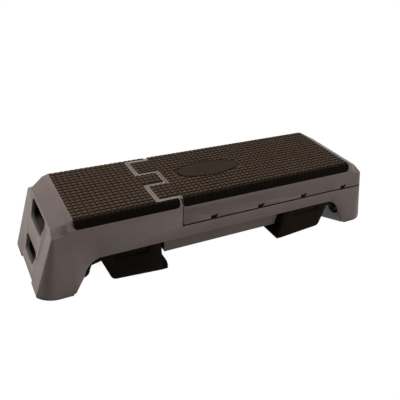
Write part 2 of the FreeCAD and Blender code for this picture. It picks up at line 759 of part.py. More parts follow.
def make_backrest_shell():
    body = new_body("backrest_shell")
    skirt_ring = foot_ring.at(back_low, shoulder_ring)
    ruled_loft(body, "outer_form", [skirt_ring] + CROWN)
    add_crown_top(body)
    void_low = back_low - S.seam_gap
    skirt_void = foot_ring.at(void_low, shoulder_ring).inset(void_low, S.wall)
    ruled_loft(body, "hollow", [skirt_void] + CROWN_VOID, cut=True)
    cut_crown_hollow(body)

    # Left of the hinge seam everything goes, the tabs come back below
    corner = S.seam_radius
    edge = hinge_x + recess
    top_edge = hinge_x + reach(recess, S.height - hinge_z)
    far_left = -foot_end - S.wall
    points = [
        (far_left, S.deck_height), (edge + corner, S.deck_height), (edge + corner, back_low),
        (edge, back_low + corner), (edge, hinge_z), (top_edge, S.height), (top_edge, above),
        (far_left, above),
    ]
    arcs = {2: (corner, False), 4: (recess, True)}
    across(body, "hinge_side", -foot_half, foot_half, points, arcs, cut=True)

    # Curved wall that closes the hinge side, then the two tabs
    wall_right = edge + S.skin
    wall_low = hinge_z - S.knuckle_drop * 2
    closing = [
        (edge, wall_low), (wall_right, wall_low), (wall_right, hinge_z), (edge, hinge_z),
    ]
    across(body, "hinge_wall", -core_half, core_half, closing)
    curved = [
        (edge, hinge_z), (wall_right, hinge_z), (wall_right, beam_top),
        (hinge_x + reach(recess, beam_top - hinge_z), beam_top),
    ]
    across(body, "hinge_wall_top", -beam_half, beam_half, curved, {3: (recess, False)})
    points, arcs = knuckle_outline(wall_right, -1)
    both_sides(body, "tab", tab_inner, S.tab_outer, points, arcs)
    bore = [(hinge_x, hinge_z, rod_radius + S.running_fit)]
    across(body, "rod_bore", -S.tab_outer, S.tab_outer, rounds=bore, cut=True)

    # Stiffening ribs under the skin
    rib_low = skin_low - S.rib_height
    rib_top = skin_low + S.skin / 2
    rib_end = top_end - S.wall * 4
    long_rib = rectangle(wall_right - S.skin / 2, rib_low, rib_end, rib_top)
    both_sides(body, "long_rib", S.rib_spread, S.rib_spread + S.rib, long_rib)
    half = top_half - S.wall * 3
    for number in range(4):
        x = S.rib_first + S.rib_step * number
        cross = rectangle(-half, rib_low, half, rib_top)
        along(body, "cross_rib_%d" % number, x, x + S.rib, cross)

    # Bed of the backrest mat, with its bare rims
    gap = S.mat_clearance
    mat_left = back_edge + S.rim_width - gap
    cut_prism(along, body, "mat_bed", mat_left, top_end + gap, crown_cut_profile())
    tab_bed = rectangle(tab_edge + S.rim_width - gap, core_top - gap, mat_left, above)
    bed_inner = tab_inner + S.rim_width - gap
    bed_outer = S.tab_outer - S.rim_width + gap
    both_sides(body, "mat_bed_tab", bed_inner, bed_outer, tab_bed, cut=True)
    cut_band_bed(body, mat_left, top_end + gap)
    rims = rectangle(hinge_x - recess * 2, rim_z, mat_left, above)
    across(body, "rim_level", -foot_half, foot_half, rims, cut=True)

    # Band notches in the skirt and the hand-hold in the free end
    for number in range(4):
        x = S.band_notch_first + S.band_notch_step * number
        left, right = x - S.band_notch_width / 2, x + S.band_notch_width / 2
        notch = rectangle(left, S.deck_height, right, back_low + S.band_notch_height)
        across(body, "band_notch_%d" % number, -foot_half, foot_half, notch, cut=True)
    low = back_low + S.grip_back_rise
    cut_grip(body, "grip_right_upper", 1, low, S.grip_upper_high, S.grip_upper_half)
    return body


def make_mat(label, left, right):
    """The C-shaped run of a mat between two stations; the hinge end is cut to shape after."""
    body = new_body(label)
    points, arcs = mat_profile()
    along(body, "tread", left, right, points, arcs)
    radius = S.mat_corner_radius
    for name, x, way in (("left", left, 1), ("right", right, -1)):
        corner = [(x, wrap_low), (x + radius * way, wrap_low), (x, wrap_low + radius)]
        both_sides(body, "band_corner_" + name, core_half, side_half, corner,
                   {1: (radius, way < 0)}, cut=True)
    return body


def repeat(body, feature, axis, pitch, count):
    """Repeat a feature along an axis of its sketch."""
    pattern = body.newObject("PartDesign::LinearPattern", feature.Name + "s")
    pattern.Originals = [feature]
    pattern.Direction = (feature.Profile[0], [axis])
    bind(pattern, "Length", pitch * (count - 1))
    pattern.Occurrences = count
    body.Tip = pattern
    return pattern


def cut_grooves(body, left, right):
    """Main grooves of a tread: along it on both sides of the middle, then across it."""
    pitch, half = S.groove_pitch, S.groove_width / 2
    floor = S.height - S.groove_depth
    inmost = pitch / 4
    a_side = 1 + int((flat_half - inmost).value // pitch.value)
    for name, way in (("near", -1), ("far", 1)):
        run = rectangle(left, inmost * way - half, right, inmost * way + half)
        groove = upward(body, "long_groove_" + name, floor, S.height, run, cut=True)
        pattern = repeat(body, groove, "V_Axis", pitch, a_side)
        pattern.Reversed = way < 0
    first = math.ceil(left.value / pitch.value)
    last = math.floor(right.value / pitch.value)
    x = pitch * first
    run = rectangle(x - half, -side_half, x + half, side_half)
    groove = upward(body, "cross_groove", floor, S.height, run, cut=True)
    repeat(body, groove, "H_Axis", pitch, last - first + 1)


def make_seat_mat():
    right = tongue_edge - S.rim_width
    body = make_mat("seat_mat", -top_end, right)
    notch = rectangle(notch_edge - S.rim_width, wrap_low, right + S.rim_width, above)
    inner = S.tongue_half - S.rim_width
    both_sides(body, "tab_notch", inner, strip_inner + S.rim_width, notch, cut=True)
    cut_grooves(body, -top_end, right)
    return body


def make_backrest_mat():
    left = back_edge + S.rim_width
    body = make_mat("backrest_mat", left, top_end)
    tab = rectangle(tab_edge + S.rim_width, core_top, left + S.rim_width, S.height)
    both_sides(body, "tab_tread", tab_inner + S.rim_width, S.tab_outer - S.rim_width, tab)
    cut_grooves(body, tab_edge + S.rim_width, top_end)

    # The bare oval in the middle of the tread
    half, radius = S.plate_half, S.plate_end_radius
    run = half - radius
    oval = [(half, 0), (run, radius), (-run, radius), (-half, 0), (-run, -radius), (run, -radius)]
    arcs = {side: (radius, True) for side in (0, 2, 3, 5)}
    arcs[1] = arcs[4] = (S.plate_side_radius, True)
    upward(body, "plate", S.height - S.groove_depth, S.height, oval, arcs)
    return body


def make_foot_pad(label, end, side):
    """A rubber shoe under the walls of one corner leg."""
    body = new_body(label)
    (end_x, end_y), (corner_x, corner_y), (leg_x, leg_y), _ = foot_ring.quarter
    width = S.pad_width
    leg_x = S.arch_foot + S.pad_height / 2
    points = [
        (end_x, S.end_arch_half), (end_x, end_y), (corner_x, corner_y), (leg_x, leg_y),
        (leg_x, leg_y - width), (corner_x, leg_y - width), (end_x - width, end_y - width / 2),
        (end_x - width, S.end_arch_half),
    ]
    points = [(x * end, y * side) for x, y in points]
    same_hand = end * side > 0
    arcs = {1: (S.corner_radius, same_hand), 5: (S.corner_radius - width, not same_hand)}
    upward(body, "shoe", 0, S.pad_height, points, arcs)
    return body


belly_screw_x = S.belly_half_length + S.belly_flange / 2
belly_screw_y = S.belly_half_width - S.screw_head * 3
belly_screws = [(belly_screw_x * x, belly_screw_y * y) for x in (-1, 1) for y in (-1, 1)]


def make_belly_pan():
    """An open tray between the stowed legs, screwed up against the deck by its end flanges."""
    body = new_body("belly_pan")
    long, wide, wall = S.belly_half_length, S.belly_half_width, S.belly_wall
    draw_in = S.belly_wall * 1.5
    sketches = []
    for name, height, inset in (("low", S.belly_height, draw_in), ("high", deck_low, as_size(0))):
        sketch = new_sketch(body, "pan_" + name, "XY_Plane", height)
        outline(sketch, rectangle(-long + inset, -wide + inset, long - inset, wide - inset))
        sketch.Visibility = False
        sketches.append(sketch)
    loft = body.newObject("PartDesign::AdditiveLoft", "pan")
    loft.Profile = sketches[0]
    loft.Sections = sketches[1:]
    loft.Ruled = True
    flange_x = long + S.belly_flange
    flanges = rectangle(-flange_x, -wide, flange_x, wide)
    upward(body, "flanges", deck_low - wall, deck_low, flanges)
    inside_x, inside_y = long - draw_in - wall, wide - draw_in - wall
    hollow = rectangle(-inside_x, -inside_y, inside_x, inside_y)
    upward(body, "hollow", S.belly_height + wall, deck_low, hollow, cut=True)
    return body


def make_screws(label, places, low):
    """Hexagon screw heads as one group, from a height up."""
    heads = []
    for number, (x, y) in enumerate(places):
        head = doc.addObject("Part::Prism", "%s_%d" % (label, number))
        head.Polygon = 6
        bind(head, "Circumradius", S.screw_head / 2)
        bind(head, "Height", S.screw_head_height)
        for axis, size in zip("xyz", (x, y, low)):
            bind(head, "Placement.Base." + axis, size)
        heads.append(head)
    group = doc.addObject("Part::Compound", label)
    group.Label = label
    group.Links = heads
    return group


# The prop: it pivots under the backrest, as far from the hinge as the prop is long, so
# its foot runs straight along a track that slopes away from the hinge.

bar_radius = S.prop_bar / 2
TILTS = [S.tilt_first, S.tilt_second, S.tilt_third, S.tilt_last]


def track(distance, rise):
    """A point by its distance from the hinge along the track and its height over it."""
    lean_x, lean_z = cosine(S.prop_slope), sine(S.prop_slope)
    return (hinge_x + distance * lean_x + rise * lean_z, hinge_z - distance * lean_z + rise * lean_x)


pivot_x, pivot_z = track(S.prop_reach, as_size(0))
SEATS = [S.prop_reach * 2] + [S.prop_reach * 2 * cosine(tilt) for tilt in TILTS]


def rack_foot_x(side_end):
    """Where a rack starts (-1) and ends (+1) along the length."""
    if side_end < 0:
        return track(SEATS[-1], as_size(0))[0] - S.prop_bar - S.screw_head * 2
    return track(SEATS[0], as_size(0))[0] + S.prop_bar + S.screw_head * 2


rack_left, rack_right = rack_foot_x(-1), rack_foot_x(1)
rack_screw_x = [rack_left + S.screw_head, rack_right - S.screw_head]
rack_screws = [(x, S.rack_half * side) for x in rack_screw_x for side in (-1, 1)]
flange_z = S.deck_height + S.rack_flange_height


def make_rack(label, side):
    """A toothed rail on the deck that the prop's foot drops into."""
    body = new_body(label)
    clear = -(bar_radius + S.prop_gap)
    first = track(SEATS[-1] - S.prop_bar, clear)
    last = track(SEATS[0] + S.prop_bar, clear)
    points = [
        (first[0], S.deck_height), (last[0], S.deck_height), last, first,
    ]
    middle = S.rack_half * side
    half = S.rack_thickness / 2
    across(body, "rail", middle - half, middle + half, points)
    seats = []
    for distance in SEATS:
        x, z = track(distance, -S.notch_depth)
        seats.append((x, z, bar_radius + S.prop_gap))
    across(body, "seats", middle - half, middle + half, rounds=seats, cut=True)
    wide = S.rack_flange / 2
    flange = rectangle(rack_left, middle - wide, rack_right, middle + wide)
    upward(body, "flange", S.deck_height, flange_z, flange)
    return body


bracket_inner = S.prop_half + S.prop_hub_radius
bracket_screw_x = [pivot_x + (S.bracket_length / 2 - S.screw_head) * way for way in (-1, 1)]
bracket_screw_y = bracket_inner + (S.bracket_flange + S.bracket_thickness) / 2
bracket_screws = [(x, bracket_screw_y * side) for x in bracket_screw_x for side in (-1, 1)]


def make_bracket(label, side):
    """A cheek under the backrest skin that carries one end of the prop's rod."""
    body = new_body(label)
    half = S.bracket_length / 2
    radius = S.prop_hub_radius + S.rib
    points = [
        (pivot_x + half, skin_low), (pivot_x - half, skin_low), (pivot_x - radius, pivot_z),
        (pivot_x, pivot_z - radius), (pivot_x + radius, pivot_z),
    ]
    arcs = {2: (radius, True), 3: (radius, True)}
    low, high = rising(bracket_inner * side, (bracket_inner + S.bracket_thickness) * side)
    across(body, "cheek", low, high, points, arcs)
    bore = [(pivot_x, pivot_z, S.prop_pin / 2)]
    across(body, "rod_bore", low, high, rounds=bore, cut=True)
    low, high = rising(bracket_inner * side, (bracket_inner + S.bracket_flange) * side)
    flange = rectangle(pivot_x - half, low, pivot_x + half, high)
    upward(body, "flange", skin_low - S.rib, skin_low, flange)
    return body


def make_prop_frame():
    """Two flat arms with an eye each, joined by a round foot bar, along the track when stowed."""
    body = new_body("prop_frame")
    length, eye, foot = S.prop_reach, S.prop_hub_radius, S.prop_foot_radius
    inner, outer = S.prop_half - S.prop_arm / 2, S.prop_half + S.prop_arm / 2
    across(body, "foot_bar", -outer, outer, rounds=[(length, 0, bar_radius)])
    arm = [(0, eye), (-eye, 0), (0, -eye), (length, -foot), (length + foot, 0), (length, foot)]
    arcs = {0: (eye, True), 1: (eye, True), 3: (foot, True), 4: (foot, True)}
    both_sides(body, "arm", inner, outer, arm, arcs)
    bore = [(0, 0, S.prop_pin / 2 + S.running_fit)]
    across(body, "eye_bore", -outer, outer, rounds=bore, cut=True)
    tilt = FreeCAD.Rotation(Vector(0, 1, 0), S.prop_slope.value)
    body.Placement = FreeCAD.Placement(Vector(0, 0, 0), tilt)
    bind(body, "Placement.Base.x", pivot_x)
    bind(body, "Placement.Base.z", pivot_z)
    bind(body, "Placement.Rotation.Angle", S.prop_slope)
    return body


# The fold-out legs: shallow trays under the deck that swing down about an axle near
# the corner legs. end is +1 for the right one and -1 for the left one.

bush_radius = axle_radius + S.bush_wall
LEG_ENDS = {"left": -1, "right": 1}


def mirrored(points, end):
    """An X and Z outline of the right leg, or its mirror image for the left one."""
    return [(x * end, z) for x, z in points]


def lean_cheeks(body, inner, outer, end):
    """Draw a leg's sides in towards the top, between two distances from the middle."""
    left, right = rising(inner * end, outer * end)
    beyond = S.leg_half_low + S.leg_panel
    for side_name, side in (("near", -1), ("far", 1)):
        lean_in = [
            (S.leg_half_top * side, S.leg_top), (S.leg_half_low * side, S.leg_low),
            (beyond * side, S.leg_low), (beyond * side, S.leg_top),
        ]
        along(body, "cheek_lean_" + side_name, left, right, lean_in, cut=True)


def make_leg_tray(name, end):
    body = new_body(name + "_leg_tray")
    tip, lean, low, top = S.leg_tip_x, S.leg_tip_lean, S.leg_low, S.leg_top
    heel, heel_low, back, panel = S.leg_heel_x, S.leg_heel_low, S.leg_back_x, S.leg_panel
    leftwards = end > 0
    shape = [
        (tip, low), (heel, heel_low), (heel + S.leg_heel_run, heel_low + S.leg_heel_rise),
        (back, top), (tip + lean, top),
    ]
    arcs = {1: (S.leg_heel_radius, leftwards)}
    half = S.leg_half_low
    across(body, "tray", -half, half, mirrored(shape, end), arcs)
    lean_cheeks(body, tip, back, end)
    hollow = [
        (tip + panel, low + panel), (heel + panel, heel_low + panel), (back - panel, top),
        (tip + lean + panel, top),
    ]
    inner = S.leg_cheek_inner
    across(body, "hollow", -inner, inner, mirrored(hollow, end), cut=True)

    # Arms that run out behind the skirt to the pivot
    x, z, radius = S.leg_pivot_x, S.leg_pivot_height, S.leg_hub_radius
    arm = [
        (back - S.leg_neck, top - S.leg_neck), (x - radius - panel, z + radius - panel), (x - radius, z),
        (x, z - radius), (x + radius, z), (x, z + radius), (back, top),
    ]
    arcs = {side: (radius, leftwards) for side in (2, 3, 4)}
    both_sides(body, "arm", inner, S.leg_half_top, mirrored(arm, end), arcs)
    bore = [(x * end, z, bush_radius)]
    across(body, "bush_bore", -S.leg_half_top, S.leg_half_top, rounds=bore, cut=True)

    # Long recess in each cheek
    slot_half, slot_low = S.leg_slot_length / 2, S.leg_slot_low
    slot = rectangle(S.leg_slot_x - slot_half, slot_low,
                     S.leg_slot_x + slot_half, slot_low + S.leg_slot_height)
    share = (slot_low - low) / (top - low)
    floor = between(S.leg_half_low, S.leg_half_top, share) - S.leg_slot_depth
    both_sides(body, "cheek_slot", floor, S.leg_half_low, mirrored(slot, end), cut=True)
    return body


def make_leg_foot(name, end):
    """The rubber block on a leg's tip that stands on the floor when the leg is out."""
    body = new_body(name + "_leg_foot")
    tip, low, front = S.leg_tip_x, S.leg_low, S.leg_tip_x - S.toe_reach
    lean = S.leg_tip_lean * S.toe_height / (S.leg_top - low)
    block = [(tip, low), (tip + lean, low + S.toe_height), (front, low + S.toe_nose), (front, low)]
    arcs = {1: (S.toe_radius, end > 0)}
    half = S.leg_half_low
    across(body, "block", -half, half, mirrored(block, end), arcs)
    lean_cheeks(body, front, tip + S.leg_panel, end)
    return body


def make_leg_bushes(name, end):
    """Two plain bushes, one in each arm of a leg."""
    bushes = []
    length = S.leg_half_top - S.leg_cheek_inner
    x, z = S.leg_pivot_x * end, S.leg_pivot_height
    for side_name, start in (("near", -S.leg_half_top), ("far", S.leg_cheek_inner)):
        base = "%s_leg_bush_%s" % (name, side_name)
        outer = rod(base + "_outer", bush_radius, length, x, start, z)
        inner = rod(base + "_inner", axle_radius + S.running_fit, length, x, start, z)
        bush = doc.addObject("Part::Cut", base)
        bush.Base, bush.Tool = outer, inner
        bushes.append(bush)
    group = doc.addObject("Part::Compound", name + "_leg_bushes")
    group.Label = name + "_leg_bushes"
    group.Links = bushes
    return group


def make_leg_axle(name, end):
    half = S.leg_half_top + S.running_fit * 4
    return rod(name + "_leg_axle", axle_radius, half * 2, S.leg_pivot_x * end, -half, S.leg_pivot_height)


def make_all():
    parts = [make_base_shell(), make_seat_mat(), make_belly_pan()]
    under_flange = deck_low - S.belly_wall - S.screw_head_height
    parts.append(make_screws("belly_pan_screws", belly_screws, under_flange))
    for end_name, end in LEG_ENDS.items():
        for side_name, side in (("near", -1), ("far", 1)):
            parts.append(make_foot_pad("%s_%s_foot_pad" % (end_name, side_name), end, side))
    parts.append(rod("hinge_rod", rod_radius, rod_half * 2, hinge_x, -rod_half, hinge_z))
    for side_name, side in (("near", -1), ("far", 1)):
        parts.append(make_rack("prop_rack_" + side_name, side))
        parts.append(make_bracket("prop_bracket_" + side_name, side))
    parts.append(make_screws("rack_screws", rack_screws, flange_z))
    under_bracket = skin_low - S.rib - S.screw_head_height
    parts.append(make_screws("bracket_screws", bracket_screws, under_bracket))
    parts += [make_backrest_shell(), make_backrest_mat(), make_prop_frame()]
    pin_half = bracket_inner + S.bracket_thickness
    parts.append(rod("prop_pivot_rod", S.prop_pin / 2, pin_half * 2, pivot_x, -pin_half, pivot_z))
    for name, end in LEG_ENDS.items():
        parts += [make_leg_tray(name, end), make_leg_foot(name, end)]
        parts += [make_leg_bushes(name, end), make_leg_axle(name, end)]
    return parts


def check_and_write(parts):
    """Stop on any failed feature or bad solid, then write one file for each sub-part."""
    for item in doc.Objects:
        if "Invalid" in item.State or "Error" in item.State:
            raise RuntimeError("%s failed: %s" % (item.Name, item.State))
        if item.TypeId == "PartDesign::Pocket" and item.BaseFeature is not None:
            if item.BaseFeature.Shape.Volume - item.Shape.Volume < 1:
                raise RuntimeError("%s cuts nothing" % item.Name)
    for part in parts:
        if part.Shape.isNull() or not part.Shape.isValid() or not part.Shape.Solids:
            raise RuntimeError("%s has no valid solid" % part.Label)
    os.makedirs("parts", exist_ok=True)
    for part in parts:
        part.Shape.exportStep("parts/%s.step" % part.Label)
        volume = part.Shape.Volume / 1000
        print("%-22s %d solids %9.1f cm3" % (part.Label, len(part.Shape.Solids), volume))


all_parts = make_all()
doc.recompute()
check_and_write(all_parts)
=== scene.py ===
"""Looks of the folding step platform: studio, finishes, studded tread mats and softened mouldings."""

import json
import math

import bmesh
import bpy
from mathutils import Matrix, Vector
from mathutils.bvhtree import BVHTree


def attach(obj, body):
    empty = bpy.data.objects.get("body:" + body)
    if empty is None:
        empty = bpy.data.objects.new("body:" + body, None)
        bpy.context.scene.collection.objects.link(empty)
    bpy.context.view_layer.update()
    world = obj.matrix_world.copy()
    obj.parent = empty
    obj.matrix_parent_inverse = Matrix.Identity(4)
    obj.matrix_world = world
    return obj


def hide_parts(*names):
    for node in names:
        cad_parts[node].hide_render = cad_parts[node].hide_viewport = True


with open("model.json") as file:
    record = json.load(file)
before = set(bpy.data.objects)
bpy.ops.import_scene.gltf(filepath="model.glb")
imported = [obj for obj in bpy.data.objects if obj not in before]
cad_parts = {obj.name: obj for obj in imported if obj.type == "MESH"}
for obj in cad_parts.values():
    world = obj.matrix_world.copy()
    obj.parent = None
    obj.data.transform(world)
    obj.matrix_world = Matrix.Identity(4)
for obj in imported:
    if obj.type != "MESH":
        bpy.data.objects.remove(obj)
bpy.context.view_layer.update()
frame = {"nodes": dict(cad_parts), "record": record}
nodes = frame["nodes"]
bodies = frame["record"]["behaviour"]["bodies"]
body_of = {node: body for body, members in bodies.items() for node in members}
slot_of = {part["node"]: part["material_slot"] for part in frame["record"]["subparts"]}

MM = 0.001

# Camera, from the photograph's vanishing lines
CAMERA_TARGET = Vector((-0.016, 0.0, 0.106))
CAMERA_DISTANCE = 1.566
CAMERA_AZIMUTH = math.radians(-29.882)
CAMERA_ELEVATION = math.radians(30.796)
CAMERA_ROLL = math.radians(4.339)
CAMERA_LENS = 45.43
CAMERA_SENSOR = 36.0

# Sizes in millimetres, as in the solid model
TREAD_TOP = 216.0
MAT_END = 442.0
SIDE_HALF = 138.5
EDGE_RADIUS = 17.0
MAT_WRAP = 27.0
MAT_THICKNESS = 5.0
CORNER_RADIUS = 9.0
HINGE_X = -180.0
HINGE_Z = 196.0
KNUCKLE = 34.0
KNUCKLE_GAP = 2.5
TONGUE_HALF = 33.0
TAB_OUTER = 118.0
SIDE_GAP = 1.5
RIM_WIDTH = 5.0
RIM_DROP = 3.5
GRIP_TAPER = 10.0
GRIP_RADIUS = 14.0
GRIP_UPPER = (132.0, 184.0, 70.0)
GRIP_BACK = (141.0, 184.0, 70.0)
GRIP_LOWER = (40.0, 86.0, 57.0)
END_FOOT = 550.0
END_SHOULDER = 500.0
SHOULDER = 176.0
SEAM = 130.0
WALL = 4.5

# Mat outlines that follow from those sizes
FLAT_HALF = SIDE_HALF - EDGE_RADIUS
ARC = EDGE_RADIUS * math.pi / 2
BAND_END = FLAT_HALF + ARC + MAT_WRAP - EDGE_RADIUS
RIM_LIFT = TREAD_TOP - RIM_DROP - HINGE_Z
KNUCKLE_REACH = math.sqrt(KNUCKLE ** 2 - RIM_LIFT ** 2)
RECESS_REACH = math.sqrt((KNUCKLE + KNUCKLE_GAP) ** 2 - RIM_LIFT ** 2)
SEAT_TONGUE_X = HINGE_X + KNUCKLE_REACH - RIM_WIDTH
SEAT_NOTCH_X = HINGE_X - RECESS_REACH - RIM_WIDTH
SEAT_TONGUE_HALF = TONGUE_HALF - RIM_WIDTH
SEAT_STRIP_INNER = TAB_OUTER + SIDE_GAP + RIM_WIDTH
BACK_EDGE_X = HINGE_X + RECESS_REACH + RIM_WIDTH
BACK_TAB_X = HINGE_X - KNUCKLE_REACH + RIM_WIDTH
BACK_TAB_INNER = TONGUE_HALF + SIDE_GAP + RIM_WIDTH
BACK_TAB_OUTER = TAB_OUTER - RIM_WIDTH

# Mat skin, with the longest steps between its points
SKIN_STEP = 30.0
SKIN_EDGE_STEP = 1.6
SKIN_UNDERSIDE = MAT_THICKNESS - 0.2
BAND_DEPTH = 0.3
RUN_START = FLAT_HALF - 8.0
RUN_END = FLAT_HALF + 17.5

# Studs, and the ribs that carry them over the long edges
STUD_PITCH = 14.75
STUD_COLUMNS = 30
STUD_ROWS = 8
STUD_ROOT = 10.6
STUD_CROWN = 9.6
STUD_ROUND = 0.5
STUD_FILLET = 0.9
STUD_HEIGHT = 3.6
STUD_SUNK = 0.1
STUD_LEAST = 3.0
STUD_MARGIN = 0.8
STUD_STEP = 2.2
STUD_INSET_LIMIT = 2.2
STUD_SHARP = 38.0
RIB_START = FLAT_HALF + 4.4
RIB_END = FLAT_HALF + 23.0

# Bare oval in the tread
PLATE_HALF = 96.5
PLATE_END_RADIUS = 28.0
PLATE_SIDE_RADIUS = 206.0
PLATE_DEPTH = 0.1
PLATE_GROOVE = 2.4
PLATE_SUNK = 0.2
PLATE_SHOULDER = 0.5
PLATE_TOP_INSET = 1.1
PLATE_INNER_INSET = 8.0
PLATE_POINTS = 96
PLATE_RUN = PLATE_HALF - PLATE_END_RADIUS
PLATE_SIDE_CENTRE = math.sqrt((PLATE_SIDE_RADIUS - PLATE_END_RADIUS) ** 2 - PLATE_RUN ** 2)
PLATE_JOIN = math.atan2(PLATE_SIDE_CENTRE, PLATE_RUN)

# Painted shade of each level of the mats, from zero in the gaps to one on the crowns
BAND_SHADE = 0.3
SKIN_SHADE = 0.74
FOOT_SHADE = 0.8
ROUND_SHADE = 0.9
RIB_SHADE = 0.8
PLATE_SHADE = 0.6

# Softened mould edges: angles in degrees, weld in metres, SOFT_SIDE the share of a normal across
SOFT_SEGMENTS = 2
SOFT_ANGLE = 24.0
SOFT_WELD = 2e-6
SOFT_FLAT = 0.6
SOFT_SIDE = 0.7

# Hand-hold flanges
FLANGE_DEPTH = 10.0
FLANGE_WALL = 2.6
FLANGE_STEP = 0.35
FLANGE_START = 0.7
FLANGE_ROUND = 1.2
FLANGE_LIP = 0.5
FLANGE_LAP = 0.6
FLANGE_SHARP = 50.0
FLANGE_TURNS = 8

# Band cleats in the notches of the backrest skirt: a cleat's outline runs along and up from the seam,
# and OUTSIDE is a distance in metres that is well clear of the skirt
NOTCH_FIRST = -45.0
NOTCH_STEP = 159.0
NOTCH_COUNT = 4
CLEAT = [(-10.5, 0.6), (6.5, 0.6), (7.5, 6.0), (13.0, 14.0), (6.0, 13.4), (2.0, 11.6), (-10.5, 11.4)]
CLEAT_PROBE = 16.0
CLEAT_FACES = (1.0, -3.0)
CLEAT_ROUND = 0.4
OUTSIDE = 0.3

# Colours: gap between studs and side band, both painted shade, then stud crown and the paler bare rims
TREAD_SHADED_GAP = (0.0080, 0.0052, 0.0035)
TREAD_SHADED_BAND = (0.0050, 0.0033, 0.0022)
TREAD_CROWN = (0.132, 0.094, 0.069)
RIM_PALE = (0.44, 0.385, 0.36)

# Where rims are coloured paler, and half the height of the painted shade line along the seam
RIM_TOLERANCE = 1.2
RIM_REACH = KNUCKLE + 12.0
SEAM_SHADE_HALF = 2.3

# Textures: scales in features per metre, depths and reaches in metres, strengths and shares
MOTTLE = 9.0
SPECK = 260.0
SCUFF = 70.0
GLOSS_PATCH = 34.0
WAVE = 26.0
MOULD_GRAIN = 1500.0
NYLON_GRAIN = 1200.0
TREAD_GRAIN = 1100.0
PAD_GRAIN = 900.0
TREAD_MOTTLE = 7.0
TREAD_SPECK = 420.0
STEEL_LINES = 900.0
STEEL_MOTTLE = 40.0
GRAIN_STRENGTH = 0.35
GRAIN_DEPTH = 0.00012
WAVE_STRENGTH = 0.25
WAVE_DEPTH = 0.0004
LINE_STRENGTH = 0.2
LINE_DEPTH = 0.0001
WEAR_RADIUS = 0.0016
RECESS_SHADE_REACH = 0.10
RECESS_SHADE_DARKEST = 0.12
MATT = 0.02

# Floor in metres: painted shadow zones are (middle, half) along and across, fades run from none to full
FLOOR_HALF = 6.0
FLOOR_DROP = 0.0005
FLOOR_COLOUR = (0.24, 0.222, 0.212)
FLOOR_WHITE = 1.13
SHADOW_REACH = 0.6
SHADOW_FADE = (0.010, 0.028)
SHADOW_CLEAR = 0.88
GRIP_SHADOW_ZONE = ((-0.495, 0.033), (0.0, 0.138))
GRIP_SHADOW_FADE = (-0.462, -0.480)
ARCH_SHADOW_ZONE = ((0.464, 0.064), (-0.078, 0.070))
ARCH_SHADOW_SLANT = (0.785, 0.62)
ARCH_SHADOW_FADE = (0.2626, 0.2666)
ARCH_SHADE = 0.935

# Light: surroundings, then each lamp's name, place, aim, size and power
SKY = (1.0, 0.97, 0.95)
SKY_STRENGTH = 0.11
WARM = (1.0, 0.955, 0.93)
LAMPS = [
    ("overhead", (-0.6, -0.15, 2.2), (0.0, 0.0, 0.1), (2.6, 1.6), 18.5),
    ("left", (-3.5, 2.4, 0.75), (-0.5, 0.0, 0.1), (1.6, 1.0), 132.0),
    ("right", (5.0, -4.3, 2.8), (0.0, 0.0, 0.1), (3.0, 3.0), 244.0),
]


# Shader parts
def new_material(name):
    material = bpy.data.materials.new(name)
    material.use_nodes = True
    tree = material.node_tree
    shader = tree.nodes["Principled BSDF"]
    return material, tree, shader


def noise(tree, scale, detail=4.0, stretch=(1, 1, 1)):
    """Noise on the piece's own coordinates, in features per metre."""
    coords = tree.nodes.new("ShaderNodeTexCoord")
    mapping = tree.nodes.new("ShaderNodeMapping")
    mapping.inputs["Scale"].default_value = stretch
    texture = tree.nodes.new("ShaderNodeTexNoise")
    texture.inputs["Scale"].default_value = scale
    texture.inputs["Detail"].default_value = detail
    texture.inputs["Roughness"].default_value = 0.55
    tree.links.new(coords.outputs["Object"], mapping.inputs["Vector"])
    tree.links.new(mapping.outputs["Vector"], texture.inputs["Vector"])
    return texture.outputs["Fac"]


def ramp(tree, value, stops):
    """A colour ramp through (position, colour) stops."""
    node = tree.nodes.new("ShaderNodeValToRGB")
    elements = node.color_ramp.elements
    while len(elements) < len(stops):
        elements.new(0.5)
    for element, (position, colour) in zip(elements, stops):
        element.position = position
        element.color = (*colour, 1.0)
    tree.links.new(value, node.inputs["Fac"])
    return node.outputs["Color"]


def grey_ramp(tree, value, low, high, darkest):
    """A grey that rises from darkest at low to white at high."""
    return ramp(tree, value, [(low, (darkest,) * 3), (high, (1.0,) * 3)])


def remap(tree, value, low, high, bottom=0.0, top=1.0, curve="LINEAR"):
    """Maps low to high onto bottom to top, held at both ends."""
    node = tree.nodes.new("ShaderNodeMapRange")
    node.interpolation_type = curve
    node.inputs["From Min"].default_value = low
    node.inputs["From Max"].default_value = high
    node.inputs["To Min"].default_value = bottom
    node.inputs["To Max"].default_value = top
    tree.links.new(value, node.inputs["Value"])
    return node.outputs["Result"]


def spread(tree, value, low, high):
    """Maps the middle of a noise onto low to high."""
    return remap(tree, value, 0.3, 0.7, low, high)


def faded(tree, value, low, high, top=1.0):
    """Rises smoothly from zero at low to top at high."""
    return remap(tree, value, low, high, 0.0, top, "SMOOTHSTEP")


def edge_mask(tree, radius, low, high):
    """High on convex and concave edges: how far a rounded normal leaves the true one."""
    rounded = tree.nodes.new("ShaderNodeBevel")
    rounded.samples = 4
    rounded.inputs["Radius"].default_value = radius
    geometry = tree.nodes.new("ShaderNodeNewGeometry")
    dot = tree.nodes.new("ShaderNodeVectorMath")
    dot.operation = "DOT_PRODUCT"
    tree.links.new(rounded.outputs["Normal"], dot.inputs[0])
    tree.links.new(geometry.outputs["Normal"], dot.inputs[1])
    return remap(tree, dot.outputs["Value"], high, low)


def mix(tree, factor, first, second, blend="MIX"):
    """A colour mix of sockets, plain colours or plain numbers."""
    node = tree.nodes.new("ShaderNodeMix")
    node.data_type = "RGBA"
    node.blend_type = blend
    for name, value in (("Factor", factor), ("A", first), ("B", second)):
        socket = node.inputs[name]
        if isinstance(value, bpy.types.NodeSocket):
            tree.links.new(value, socket)
        else:
            socket.default_value = value if isinstance(value, float) else (*value, 1.0)
    return node.outputs["Result"]


